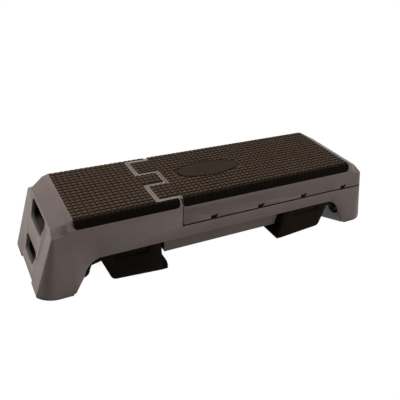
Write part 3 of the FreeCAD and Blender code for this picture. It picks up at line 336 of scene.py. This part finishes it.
def shaded(tree, colour, share):
    """A colour darkened by a share of light."""
    return mix(tree, 1.0, colour, share, "MULTIPLY")


def bump(tree, shader, layers):
    """Stacks (height, strength, depth in metres) layers into the shader's normal."""
    below = None
    for height, strength, depth in layers:
        node = tree.nodes.new("ShaderNodeBump")
        node.inputs["Strength"].default_value = strength
        node.inputs["Distance"].default_value = depth
        tree.links.new(height, node.inputs["Height"])
        if below:
            tree.links.new(below, node.inputs["Normal"])
        below = node.outputs["Normal"]
    tree.links.new(below, shader.inputs["Normal"])


def openness(tree, samples, reach):
    """How much open air lies over a point, within reach."""
    node = tree.nodes.new("ShaderNodeAmbientOcclusion")
    node.samples = samples
    node.inputs["Distance"].default_value = reach
    return node.outputs["AO"]


def painted_recess_shade(tree, colour, reach, darkest):
    """Painted shade: darkens what lies deep in gaps, hollows and holes, where little light reaches."""
    return shaded(tree, colour, remap(tree, openness(tree, 8, reach), 0.1, 0.55, darkest))


def sums(tree, operation, *terms):
    """A math node on sockets or plain numbers."""
    node = tree.nodes.new("ShaderNodeMath")
    node.operation = operation
    for socket, term in zip(node.inputs, terms):
        if isinstance(term, bpy.types.NodeSocket):
            tree.links.new(term, socket)
        else:
            socket.default_value = term
    return node.outputs["Value"]


def place(tree):
    """Sockets for a point's place on its own piece."""
    coords = tree.nodes.new("ShaderNodeTexCoord")
    split = tree.nodes.new("ShaderNodeSeparateXYZ")
    tree.links.new(coords.outputs["Object"], split.inputs["Vector"])
    return split.outputs


def pale_rims(tree):
    """One on the bare rims beside the hinge, which are coloured paler."""
    spot = place(tree)
    high = sums(tree, "GREATER_THAN", spot["Z"], (TREAD_TOP - RIM_DROP - RIM_TOLERANCE) * MM)
    beside = sums(tree, "COMPARE", spot["X"], HINGE_X * MM, RIM_REACH * MM)
    return sums(tree, "MULTIPLY", high, beside)


def painted_seam_shade(tree):
    """One along the parting line of backrest and base, where a painted shade line darkens the gap."""
    spot = place(tree)
    level = sums(tree, "COMPARE", spot["Z"], SEAM * MM, SEAM_SHADE_HALF * MM)
    beyond = sums(tree, "GREATER_THAN", spot["X"], (HINGE_X + KNUCKLE) * MM)
    return sums(tree, "MULTIPLY", level, beyond)


# Finishes
def moulded(name, dark, light, worn, gloss, grain, specular=0.5):
    """Moulded plastic or rubber: slow mottling, fine spark grain, paler rubbed edges, uneven gloss."""
    material, tree, shader = new_material(name)
    colour = ramp(tree, noise(tree, MOTTLE, 3.0), [(0.3, dark), (0.7, light)])
    colour = shaded(tree, colour, grey_ramp(tree, noise(tree, SPECK, 3.0), 0.35, 0.65, 0.93))
    rubbed = edge_mask(tree, WEAR_RADIUS, 0.75, 0.97)
    wear = shaded(tree, rubbed, grey_ramp(tree, noise(tree, SCUFF), 0.4, 0.62, 0.0))
    colour = mix(tree, wear, colour, worn)
    if name == "grey_shell":
        # Bare rims beside the hinge coloured paler
        colour = mix(tree, pale_rims(tree), colour, RIM_PALE)
        # Painted shade: a dark line along the seam gap
        colour = mix(tree, painted_seam_shade(tree), colour, TREAD_SHADED_BAND)
        # Painted shade in gaps, hollows and holes of the shell
        colour = painted_recess_shade(tree, colour, RECESS_SHADE_REACH, RECESS_SHADE_DARKEST)
    tree.links.new(colour, shader.inputs["Base Color"])
    tree.links.new(spread(tree, noise(tree, GLOSS_PATCH), *gloss), shader.inputs["Roughness"])
    shader.inputs["Specular IOR Level"].default_value = specular
    fine = (noise(tree, grain, 2.0), GRAIN_STRENGTH, GRAIN_DEPTH)
    broad = (noise(tree, WAVE, 2.0), WAVE_STRENGTH, WAVE_DEPTH)
    bump(tree, shader, [fine, broad])
    return material


def tread_rubber(name):
    """Rubber with painted shade: darkest in the gaps, dark on the side band and on the faces of studs, ribs
    and bands that lean to the long sides.
    """
    material, tree, shader = new_material(name)
    relief = tree.nodes.new("ShaderNodeAttribute")
    relief.attribute_name = "relief"
    # Painted shade: gaps darkest, side band dark, crowns lightest
    stops = [(0.0, TREAD_SHADED_GAP), (BAND_SHADE, TREAD_SHADED_BAND), (1.0, TREAD_CROWN)]
    colour = ramp(tree, relief.outputs["Fac"], stops)
    geometry = tree.nodes.new("ShaderNodeNewGeometry")
    facing = tree.nodes.new("ShaderNodeSeparateXYZ")
    tree.links.new(geometry.outputs["Normal"], facing.inputs["Vector"])
    # Painted shade: faces that lean towards the long sides are coloured dark, as if unlit
    steep_shade = faded(tree, sums(tree, "ABSOLUTE", facing.outputs["Y"]), 0.30, 0.72)
    colour = mix(tree, steep_shade, colour, TREAD_SHADED_BAND)
    colour = shaded(tree, colour, grey_ramp(tree, noise(tree, TREAD_MOTTLE, 3.0), 0.3, 0.7, 0.84))
    colour = shaded(tree, colour, grey_ramp(tree, noise(tree, TREAD_SPECK, 3.0), 0.35, 0.65, 0.86))
    tree.links.new(colour, shader.inputs["Base Color"])
    tree.links.new(spread(tree, noise(tree, GLOSS_PATCH), 0.56, 0.72), shader.inputs["Roughness"])
    shader.inputs["Specular IOR Level"].default_value = MATT
    bump(tree, shader, [(noise(tree, TREAD_GRAIN, 2.0), GRAIN_STRENGTH, GRAIN_DEPTH)])
    return material


def turned_steel(name):
    """Bare steel with fine lines round the bar."""
    material, tree, shader = new_material(name)
    lines = noise(tree, STEEL_LINES, 2.0, (1.0, 0.02, 1.0))
    colour = ramp(tree, noise(tree, STEEL_MOTTLE), [(0.3, (0.30, 0.30, 0.31)), (0.7, (0.46, 0.46, 0.47))])
    tree.links.new(colour, shader.inputs["Base Color"])
    shader.inputs["Metallic"].default_value = 1.0
    tree.links.new(spread(tree, lines, 0.28, 0.46), shader.inputs["Roughness"])
    bump(tree, shader, [(lines, LINE_STRENGTH, LINE_DEPTH)])
    return material


FINISHES = {
    "grey_shell": moulded("grey_shell", (0.190, 0.160, 0.151), (0.218, 0.184, 0.174), (0.34, 0.295, 0.28),
                          (0.42, 0.58), MOULD_GRAIN, 0.07),
    "mat_rubber": tread_rubber("mat_rubber"),
    "black_plastic": moulded("black_plastic", (0.0046, 0.0032, 0.0021), (0.0076, 0.0054, 0.0036),
                             (0.026, 0.019, 0.013), (0.44, 0.58), MOULD_GRAIN, MATT),
    "pad_rubber": moulded("pad_rubber", (0.0050, 0.0037, 0.0026), (0.0080, 0.0060, 0.0042),
                          (0.026, 0.020, 0.014), (0.62, 0.80), PAD_GRAIN, MATT),
    "nylon": moulded("nylon", (0.30, 0.29, 0.26), (0.36, 0.35, 0.32), (0.46, 0.45, 0.42),
                     (0.42, 0.55), NYLON_GRAIN),
    "steel": turned_steel("steel"),
}
SHOE = moulded("shoe_rubber", (0.105, 0.090, 0.085), (0.130, 0.112, 0.106), (0.20, 0.175, 0.165),
               (0.62, 0.80), PAD_GRAIN, 0.2)
# A paler, browner copy of the black plastic, for the right leg's tray only
PALER_BLACK = moulded("paler_black", (0.0092, 0.0060, 0.0036), (0.0150, 0.0098, 0.0060), (0.040, 0.029, 0.019),
                (0.50, 0.62), MOULD_GRAIN, MATT)
# A darker copy of the grey shell: painted shade on the belly pan set back under the skirt
KEEL_SHADED = moulded("keel_grey_shaded", (0.134, 0.111, 0.103), (0.158, 0.132, 0.123), (0.24, 0.20, 0.186),
               (0.45, 0.60), MOULD_GRAIN, 0.10)
SPECIAL = {"right_leg_tray": PALER_BLACK, "belly_pan": KEEL_SHADED}


def finish_of(node):
    """A node's own finish where the photograph shows one, or else its slot's; the belly pan's darker grey
    is painted shade.
    """
    return SHOE if node.endswith("foot_pad") else SPECIAL.get(node, FINISHES[slot_of[node]])


# Pieces
def dress(piece, node):
    """Gives a new piece the body and finish of the node it stands for, and hides the node."""
    piece.data.materials.clear()
    piece.data.materials.append(finish_of(node))
    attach(piece, body_of[node])
    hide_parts(node)
    return piece


def new_piece(name, form):
    """An object from a finished form, which is used up."""
    mesh = bpy.data.meshes.new(name)
    form.to_mesh(mesh)
    form.free()
    piece = bpy.data.objects.new(name, mesh)
    bpy.context.scene.collection.objects.link(piece)
    return piece


def smooth(piece):
    for face in piece.data.polygons:
        face.use_smooth = True


def bridge(form, ring, other):
    """Faces between two closed rings of equally many points."""
    for k in range(len(ring)):
        n = (k + 1) % len(ring)
        form.faces.new([ring[k], ring[n], other[n], other[k]])


def softened(node, width):
    """A copy of a node's moulding with its sharp edges rounded as a mould leaves them."""
    form = bmesh.new()
    form.from_mesh(nodes[node].data)
    bmesh.ops.remove_doubles(form, verts=form.verts, dist=SOFT_WELD)
    inner = [edge for edge in form.edges if all(abs(face.normal.y) < SOFT_SIDE for face in edge.link_faces)]
    bmesh.ops.dissolve_limit(form, angle_limit=math.radians(SOFT_FLAT), verts=form.verts, edges=inner)
    piece = new_piece(node + "_moulding", form)
    modifier = piece.modifiers.new("rounded_edges", "BEVEL")
    modifier.width = width * MM
    modifier.segments = SOFT_SEGMENTS
    modifier.limit_method = "ANGLE"
    modifier.angle_limit = math.radians(SOFT_ANGLE)
    modifier.use_clamp_overlap = True
    modifier.miter_outer = "MITER_ARC"
    modifier.harden_normals = True
    smooth(piece)
    return dress(piece, node)


# Tread mats
def laid(x, across, depth):
    """Place of a point of the laid-out mat, depth below its outer skin, over the rounded long edge."""
    side = math.copysign(1.0, across)
    length = abs(across)
    if length <= FLAT_HALF:
        y, z = length, TREAD_TOP - depth
    elif length <= FLAT_HALF + ARC:
        turn = (length - FLAT_HALF) / EDGE_RADIUS
        radius = EDGE_RADIUS - depth
        y = FLAT_HALF + radius * math.sin(turn)
        z = TREAD_TOP - EDGE_RADIUS + radius * math.cos(turn)
    else:
        y = SIDE_HALF - depth
        z = TREAD_TOP - EDGE_RADIUS - (length - FLAT_HALF - ARC)
    return Vector((x, side * y, z)) * MM


def run_out(across):
    """Zero on the flat, rising to one where the ribs over the edge have died away."""
    share = min(max((abs(across) - RUN_START) / (RUN_END - RUN_START), 0.0), 1.0)
    return share * share * (3 - 2 * share)


def run_shade(relief, across):
    """A shade that passes into the side band's as the relief dies away."""
    return relief + (BAND_SHADE - relief) * run_out(across)


def skin_depth(across):
    """Depth of the skin between studs, which runs out to the full thickness on the side band."""
    return STUD_HEIGHT + (BAND_DEPTH - STUD_HEIGHT) * run_out(across)


def add_point(form, x, across, depth, relief):
    """A corner of the mat with its painted shade: zero in the gaps, one on the crowns."""
    point = form.verts.new(laid(x, across, depth))
    point[form.verts.layers.float["relief"]] = relief
    return point


def corner_inset(across):
    """How far the band's end draws in at its rounded lower corner."""
    low = abs(across) - (BAND_END - CORNER_RADIUS)
    return CORNER_RADIUS - math.sqrt(max(CORNER_RADIUS ** 2 - low ** 2, 0.0)) if low > 0 else 0.0


def steps(start, end, longest):
    """Even steps from start to end, none longer than given."""
    count = max(1, math.ceil((end - start) / longest - 1e-6))
    return [start + (end - start) * i / count for i in range(count + 1)]


def cuts(values, fine_from=math.inf):
    """Breaks between neighbouring values: coarse on the flat, fine over the rounded edge."""
    values = sorted(set(round(value, 4) for value in values))
    found = []
    for start, end in zip(values, values[1:]):
        fine = abs(start + end) / 2 > fine_from
        found += steps(start, end, SKIN_EDGE_STEP if fine else SKIN_STEP)[:-1]
    return found + [values[-1]]


def add_skin(form, areas):
    """A closed sheet over areas (x low, x high, across low, across high) of the laid-out mat."""
    breaks_x = cuts([x for area in areas for x in area[:2]])
    turns = [side * value for side in (-1, 1) for value in (FLAT_HALF, RUN_END, BAND_END - CORNER_RADIUS)]
    breaks_y = cuts([y for area in areas for y in area[2:]] + turns, FLAT_HALF)
    low_x, high_x = breaks_x[0], breaks_x[-1]
    verts = {}

    def corner(i, j, under):
        if (i, j, under) not in verts:
            x, across = breaks_x[i], breaks_y[j]
            inset = corner_inset(across)
            x = max(low_x + inset, min(high_x - inset, x))
            depth = SKIN_UNDERSIDE if under else skin_depth(across)
            verts[i, j, under] = add_point(form, x, across, depth, run_shade(SKIN_SHADE, across))
        return verts[i, j, under]

    def covered(i, j):
        x, y = sum(breaks_x[i:i + 2]) / 2, sum(breaks_y[j:j + 2]) / 2
        return any(a < x < b and c < y < d for a, b, c, d in areas)

    cells = {(i, j) for i in range(len(breaks_x) - 1) for j in range(len(breaks_y) - 1) if covered(i, j)}
    for i, j in cells:
        ring = [(i, j), (i + 1, j), (i + 1, j + 1), (i, j + 1)]
        form.faces.new([corner(*spot, False) for spot in ring])
        form.faces.new([corner(*spot, True) for spot in reversed(ring)])
        sides = {(i, j - 1): 0, (i + 1, j): 1, (i, j + 1): 2, (i - 1, j): 3}
        for other, side in sides.items():
            if other not in cells:
                a, b = ring[side], ring[(side + 1) % 4]
                form.faces.new([corner(*b, False), corner(*a, False), corner(*a, True), corner(*b, True)])


def add_stud(form, left, right, near, far, crown=1.0):
    """One stud: filleted foot, drafted sides and rounded crown, bent where it lies over the long edge."""
    draft = (STUD_ROOT - STUD_CROWN) / 2
    levels = [
        (-STUD_FILLET, STUD_HEIGHT + STUD_SUNK, FOOT_SHADE * crown),
        (0.0, STUD_HEIGHT - STUD_FILLET, FOOT_SHADE * crown),
        (draft - STUD_ROUND * 0.3, STUD_ROUND, ROUND_SHADE * crown),
        (draft + STUD_ROUND, 0.0, crown),
    ]
    rows = steps(near, far, STUD_STEP) if max(abs(near), abs(far)) > FLAT_HALF else [near, far]
    rings = []
    for inset, depth, relief in levels:
        inset = min(inset, (right - left) / STUD_INSET_LIMIT, (far - near) / STUD_INSET_LIMIT)
        spans = [near + inset + (far - near - 2 * inset) * (y - near) / (far - near) for y in rows]
        shades = [run_shade(relief, y) for y in spans]
        lower = [add_point(form, left + inset, y, depth, shade) for y, shade in zip(spans, shades)]
        upper = [add_point(form, right - inset, y, depth, shade) for y, shade in zip(spans, shades)]
        rings.append((lower, upper))
    for (lower, upper), (lower_in, upper_in) in zip(rings, rings[1:]):
        outer = lower[::-1] + upper
        inner = lower_in[::-1] + upper_in
        for k in range(len(outer)):
            n = (k + 1) % len(outer)
            form.faces.new([outer[n], outer[k], inner[k], inner[n]])
    lower, upper = rings[-1]
    for k in range(len(rows) - 1):
        form.faces.new([lower[k], upper[k], upper[k + 1], lower[k + 1]])


def plate_point(turn, inset):
    """A point of the oval at an angle round it: long side arcs between round ends."""
    quarter = math.asin(abs(math.sin(turn)))
    if quarter > PLATE_JOIN:
        x = (PLATE_SIDE_RADIUS - inset) * math.cos(quarter)
        y = (PLATE_SIDE_RADIUS - inset) * math.sin(quarter) - PLATE_SIDE_CENTRE
    else:
        x = PLATE_RUN + (PLATE_END_RADIUS - inset) * math.cos(quarter)
        y = (PLATE_END_RADIUS - inset) * math.sin(quarter)
    return math.copysign(x, math.cos(turn)), math.copysign(y, math.sin(turn))


def plate_half_width(x):
    """Half the oval's width at a place along it, zero beyond its ends."""
    x = abs(x)
    if x < PLATE_SIDE_RADIUS * math.cos(PLATE_JOIN):
        return math.sqrt(PLATE_SIDE_RADIUS ** 2 - x ** 2) - PLATE_SIDE_CENTRE
    return math.sqrt(max(PLATE_END_RADIUS ** 2 - (x - PLATE_RUN) ** 2, 0.0))


def clear_of_plate(left, right, near, far):
    """A stud's extent across, cut short of the oval."""
    nearest = 0.0 if left < 0.0 < right else min(abs(left), abs(right))
    limit = plate_half_width(nearest)
    if limit == 0.0:
        return near, far
    limit += PLATE_GROOVE
    return (max(near, limit), far) if near + far > 0 else (near, min(far, -limit))


def add_studs(form, areas, plate):
    """Rows of studs over the areas, kept off their edges, with a rib at each end of a full row."""
    columns = [STUD_PITCH * (i + 0.5) for i in range(-STUD_COLUMNS, STUD_COLUMNS)]
    rows = [STUD_PITCH * j for j in range(-STUD_ROWS, STUD_ROWS + 1)]
    half = STUD_ROOT / 2
    for low_x, high_x, low_y, high_y in areas:
        for x in columns:
            left, right = max(x - half, low_x + STUD_MARGIN), min(x + half, high_x - STUD_MARGIN)
            if right - left < STUD_LEAST:
                continue
            for y in rows:
                near, far = max(y - half, low_y + STUD_MARGIN), min(y + half, high_y - STUD_MARGIN)
                if plate:
                    near, far = clear_of_plate(left, right, near, far)
                if far - near >= STUD_LEAST:
                    add_stud(form, left, right, near, far)
            if high_y > RIB_END:
                add_stud(form, left, right, RIB_START, RIB_END, RIB_SHADE)
            if low_y < -RIB_END:
                add_stud(form, left, right, -RIB_END, -RIB_START, RIB_SHADE)


def add_plate(form):
    """The smooth oval where the studs stop, with a crisp shoulder down to the skin."""
    levels = [
        (0.0, STUD_HEIGHT + PLATE_SUNK, 0.0),
        (PLATE_SHOULDER, PLATE_DEPTH + PLATE_SHOULDER, BAND_SHADE),
        (PLATE_TOP_INSET, PLATE_DEPTH, PLATE_SHADE),
        (PLATE_INNER_INSET, PLATE_DEPTH, PLATE_SHADE),
    ]
    rings = []
    for inset, depth, relief in levels:
        spots = [plate_point(2 * math.pi * (k + 0.5) / PLATE_POINTS, inset) for k in range(PLATE_POINTS)]
        rings.append([add_point(form, x, y, depth, relief) for x, y in spots])
    for outer, inner in zip(rings, rings[1:]):
        bridge(form, outer, inner)
    form.faces.new(rings[-1])


def tread_mat(node, areas, plate=False):
    """A whole mat: skin, studs and, where there is one, the bare oval."""
    form = bmesh.new()
    form.verts.layers.float.new("relief")
    add_skin(form, areas)
    add_studs(form, areas, plate)
    if plate:
        add_plate(form)
    bmesh.ops.recalc_face_normals(form, faces=form.faces)
    piece = new_piece(node + "_tread", form)
    smooth(piece)
    piece.data.set_sharp_from_angle(angle=math.radians(STUD_SHARP))
    return dress(piece, node)


seat_areas = [
    (-MAT_END, SEAT_NOTCH_X, -BAND_END, BAND_END),
    (SEAT_NOTCH_X, SEAT_TONGUE_X, -SEAT_TONGUE_HALF, SEAT_TONGUE_HALF),
    (SEAT_NOTCH_X, SEAT_TONGUE_X, SEAT_STRIP_INNER, BAND_END),
    (SEAT_NOTCH_X, SEAT_TONGUE_X, -BAND_END, -SEAT_STRIP_INNER),
]
back_areas = [
    (BACK_EDGE_X, MAT_END, -BAND_END, BAND_END),
    (BACK_TAB_X, BACK_EDGE_X, BACK_TAB_INNER, BACK_TAB_OUTER),
    (BACK_TAB_X, BACK_EDGE_X, -BACK_TAB_OUTER, -BACK_TAB_INNER),
]
tread_mat("seat_mat", seat_areas)
tread_mat("backrest_mat", back_areas, plate=True)

# Mouldings
softened("base_shell", 0.8)
softened("backrest_shell", 0.8)
for side in ("left", "right"):
    softened(side + "_leg_tray", 1.0)
    softened(side + "_leg_foot", 0.8)


# Hand-hold flanges
def end_x(z):
    """Distance of the end wall's outer face from the middle at a height."""
    return END_FOOT + (END_SHOULDER - END_FOOT) * z / SHOULDER


def grip_ring(low, high, half, grow):
    """Outline of a hand-hold, across and up, grown outwards, with rounded corners."""
    radius = GRIP_RADIUS + grow
    lean = GRIP_TAPER / (high - low)
    centres = [
        (half - GRIP_RADIUS - lean * GRIP_RADIUS, high - GRIP_RADIUS, 0.0),
        (-half + GRIP_RADIUS + lean * GRIP_RADIUS, high - GRIP_RADIUS, 90.0),
        (-half + GRIP_TAPER + GRIP_RADIUS, low + GRIP_RADIUS, 180.0),
        (half - GRIP_TAPER - GRIP_RADIUS, low + GRIP_RADIUS, 270.0),
    ]
    ring = []
    for y, z, start in centres:
        for k in range(FLANGE_TURNS + 1):
            turn = math.radians(start + 90.0 * k / FLANGE_TURNS)
            ring.append((y + radius * math.cos(turn), z + radius * math.sin(turn)))
    return ring


def hand_hold(name, body, end, grip):
    """The inward flange that stiffens a hand-hold's edge, a closed band with a rounded inner end."""
    form = bmesh.new()
    sections = [
        (-FLANGE_STEP, FLANGE_START),
        (-FLANGE_STEP, FLANGE_DEPTH - FLANGE_ROUND),
        (FLANGE_LIP, FLANGE_DEPTH),
        (FLANGE_WALL - FLANGE_LIP, FLANGE_DEPTH),
        (FLANGE_WALL, FLANGE_DEPTH - FLANGE_ROUND),
        (FLANGE_WALL, WALL - FLANGE_LAP),
    ]
    rings = []
    for grow, depth in sections:
        spots = grip_ring(*grip, grow)
        rings.append([form.verts.new(Vector((end * (end_x(z) - depth), y, z)) * MM) for y, z in spots])
    for ring, other in zip(rings, rings[1:] + rings[:1]):
        bridge(form, ring, other)
    bmesh.ops.recalc_face_normals(form, faces=form.faces)
    piece = new_piece(name, form)
    smooth(piece)
    piece.data.set_sharp_from_angle(angle=math.radians(FLANGE_SHARP))
    piece.data.materials.append(FINISHES["grey_shell"])
    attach(piece, body)


hand_hold("seat_grip_flange", "base", -1, GRIP_UPPER)
hand_hold("left_grip_flange", "base", -1, GRIP_LOWER)
hand_hold("right_grip_flange", "base", 1, GRIP_LOWER)
hand_hold("backrest_grip_flange", "backrest", 1, GRIP_BACK)


# Band cleats
def band_cleat(name, x, side, skirt):
    """A black hook for an exercise band, let into the skirt round its notch."""
    start = Vector((x * MM, side * OUTSIDE, (SEAM + CLEAT_PROBE) * MM))
    spot = skirt.ray_cast(start, Vector((0.0, -side, 0.0)))[0]
    form = bmesh.new()
    front, back = [[form.verts.new(Vector((x * MM + dx * MM, spot.y + side * depth * MM, (SEAM + dz) * MM)))
                    for dx, dz in CLEAT] for depth in CLEAT_FACES]
    form.faces.new(front)
    form.faces.new(back)
    bridge(form, front, back)
    bmesh.ops.recalc_face_normals(form, faces=form.faces)
    bmesh.ops.bevel(form, geom=form.edges[:], offset=CLEAT_ROUND * MM, segments=1, affect="EDGES")
    piece = new_piece(name, form)
    piece.data.materials.append(FINISHES["black_plastic"])
    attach(piece, "backrest")


skirt_form = bmesh.new()
skirt_form.from_mesh(nodes["backrest_shell"].data)
skirt = BVHTree.FromBMesh(skirt_form)
skirt_form.free()
for k in range(NOTCH_COUNT):
    for side, label in ((-1, "near"), (1, "far")):
        band_cleat("band_cleat_%s_%d" % (label, k + 1), NOTCH_FIRST + NOTCH_STEP * k, side, skirt)

# Carried-over nodes
for node, piece in nodes.items():
    if not piece.hide_render:
        piece.data.materials.clear()
        piece.data.materials.append(finish_of(node))


# Studio
def seen_white(tree):
    """One for the rays that show the background: straight to the camera, mirrored or through glass."""
    path = tree.nodes.new("ShaderNodeLightPath")
    mirrored = sums(tree, "MAXIMUM", path.outputs["Is Glossy Ray"], path.outputs["Is Transmission Ray"])
    return sums(tree, "MAXIMUM", path.outputs["Is Camera Ray"], mirrored)


def blend_into(output, tree, share, first, second):
    """Feeds an output node with two shaders, the second by its share."""
    blend = tree.nodes.new("ShaderNodeMixShader")
    tree.links.new(share, blend.inputs["Fac"])
    tree.links.new(first, blend.inputs[1])
    tree.links.new(second, blend.inputs[2])
    tree.links.new(blend.outputs["Shader"], tree.nodes[output].inputs["Surface"])


def within(tree, spot, along, across):
    """One inside a rectangle of the floor, its sides given as (middle, half)."""
    return sums(tree, "MULTIPLY", sums(tree, "COMPARE", spot["X"], *along),
                sums(tree, "COMPARE", spot["Y"], *across))


def make_floor():
    """White floor, dark only in the deep shadow under the platform, with shadow zones painted by position
    behind its hand-hold and under its right arch.
    """
    form = bmesh.new()
    bmesh.ops.create_grid(form, x_segments=1, y_segments=1, size=FLOOR_HALF)
    floor = new_piece("floor", form)
    floor.location.z = -FLOOR_DROP
    material, tree, shader = new_material("floor")
    shader.inputs["Base Color"].default_value = (*FLOOR_COLOUR, 1.0)
    shader.inputs["Roughness"].default_value = 0.9
    shader.inputs["Specular IOR Level"].default_value = 0.1
    white = tree.nodes.new("ShaderNodeEmission")
    white.inputs["Color"].default_value = (1.0, 1.0, 1.0, 1.0)
    white.inputs["Strength"].default_value = FLOOR_WHITE
    lit = faded(tree, openness(tree, 32, SHADOW_REACH), *SHADOW_FADE, SHADOW_CLEAR)
    spot = place(tree)
    # Painted shadows: the white is taken off the floor by position behind the hand-hold and, down to grey,
    # under the right arch
    painted_grip_shadow = sums(tree, "MULTIPLY", faded(tree, spot["X"], *GRIP_SHADOW_FADE), within(tree, spot, *GRIP_SHADOW_ZONE))
    slant = sums(tree, "ADD", sums(tree, "MULTIPLY", spot["X"], ARCH_SHADOW_SLANT[0]),
                 sums(tree, "MULTIPLY", spot["Y"], ARCH_SHADOW_SLANT[1]))
    painted_arch_shadow = sums(tree, "MULTIPLY", faded(tree, slant, *ARCH_SHADOW_FADE, ARCH_SHADE),
                      within(tree, spot, *ARCH_SHADOW_ZONE))
    clear = sums(tree, "SUBTRACT", sums(tree, "SUBTRACT", 1.0, painted_grip_shadow), painted_arch_shadow)
    share = sums(tree, "MULTIPLY", seen_white(tree), sums(tree, "MULTIPLY", lit, clear))
    blend_into("Material Output", tree, share, shader.outputs["BSDF"], white.outputs["Emission"])
    floor.data.materials.append(material)


def make_world():
    """Dim warm surroundings that show as white."""
    world = bpy.data.worlds.new("studio")
    bpy.context.scene.world = world
    world.use_nodes = True
    tree = world.node_tree
    dim = tree.nodes["Background"]
    dim.inputs["Color"].default_value = (*SKY, 1.0)
    dim.inputs["Strength"].default_value = SKY_STRENGTH
    white = tree.nodes.new("ShaderNodeBackground")
    white.inputs["Color"].default_value = (1.0, 1.0, 1.0, 1.0)
    share = seen_white(tree)
    blend_into("World Output", tree, share, dim.outputs["Background"], white.outputs["Background"])


def make_softbox(name, stand, aim, size, power):
    light = bpy.data.lights.new(name, "AREA")
    light.shape = "RECTANGLE"
    light.size, light.size_y = size
    light.energy = power
    light.color = WARM
    lamp = bpy.data.objects.new(name, light)
    lamp.location = stand
    lamp.rotation_euler = (Vector(aim) - Vector(stand)).to_track_quat("-Z", "Y").to_euler()
    bpy.context.scene.collection.objects.link(lamp)


def make_camera():
    back = Vector((
        math.sin(CAMERA_AZIMUTH) * math.cos(CAMERA_ELEVATION),
        -math.cos(CAMERA_AZIMUTH) * math.cos(CAMERA_ELEVATION),
        math.sin(CAMERA_ELEVATION),
    ))
    level = Vector((math.cos(CAMERA_AZIMUTH), math.sin(CAMERA_AZIMUTH), 0.0))
    upright = back.cross(level)
    right = math.cos(CAMERA_ROLL) * level + math.sin(CAMERA_ROLL) * upright
    up = math.cos(CAMERA_ROLL) * upright - math.sin(CAMERA_ROLL) * level
    camera = bpy.data.objects.new("camera", bpy.data.cameras.new("camera"))
    camera.data.lens = CAMERA_LENS
    camera.data.sensor_width = CAMERA_SENSOR
    turn = Matrix((right, up, back)).transposed().to_4x4()
    camera.matrix_world = Matrix.Translation(CAMERA_TARGET + CAMERA_DISTANCE * back) @ turn
    bpy.context.scene.collection.objects.link(camera)
    bpy.context.scene.camera = camera


make_floor()
make_world()
for lamp in LAMPS:
    make_softbox(*lamp)
make_camera()
bpy.context.scene.view_settings.view_transform = "Standard"
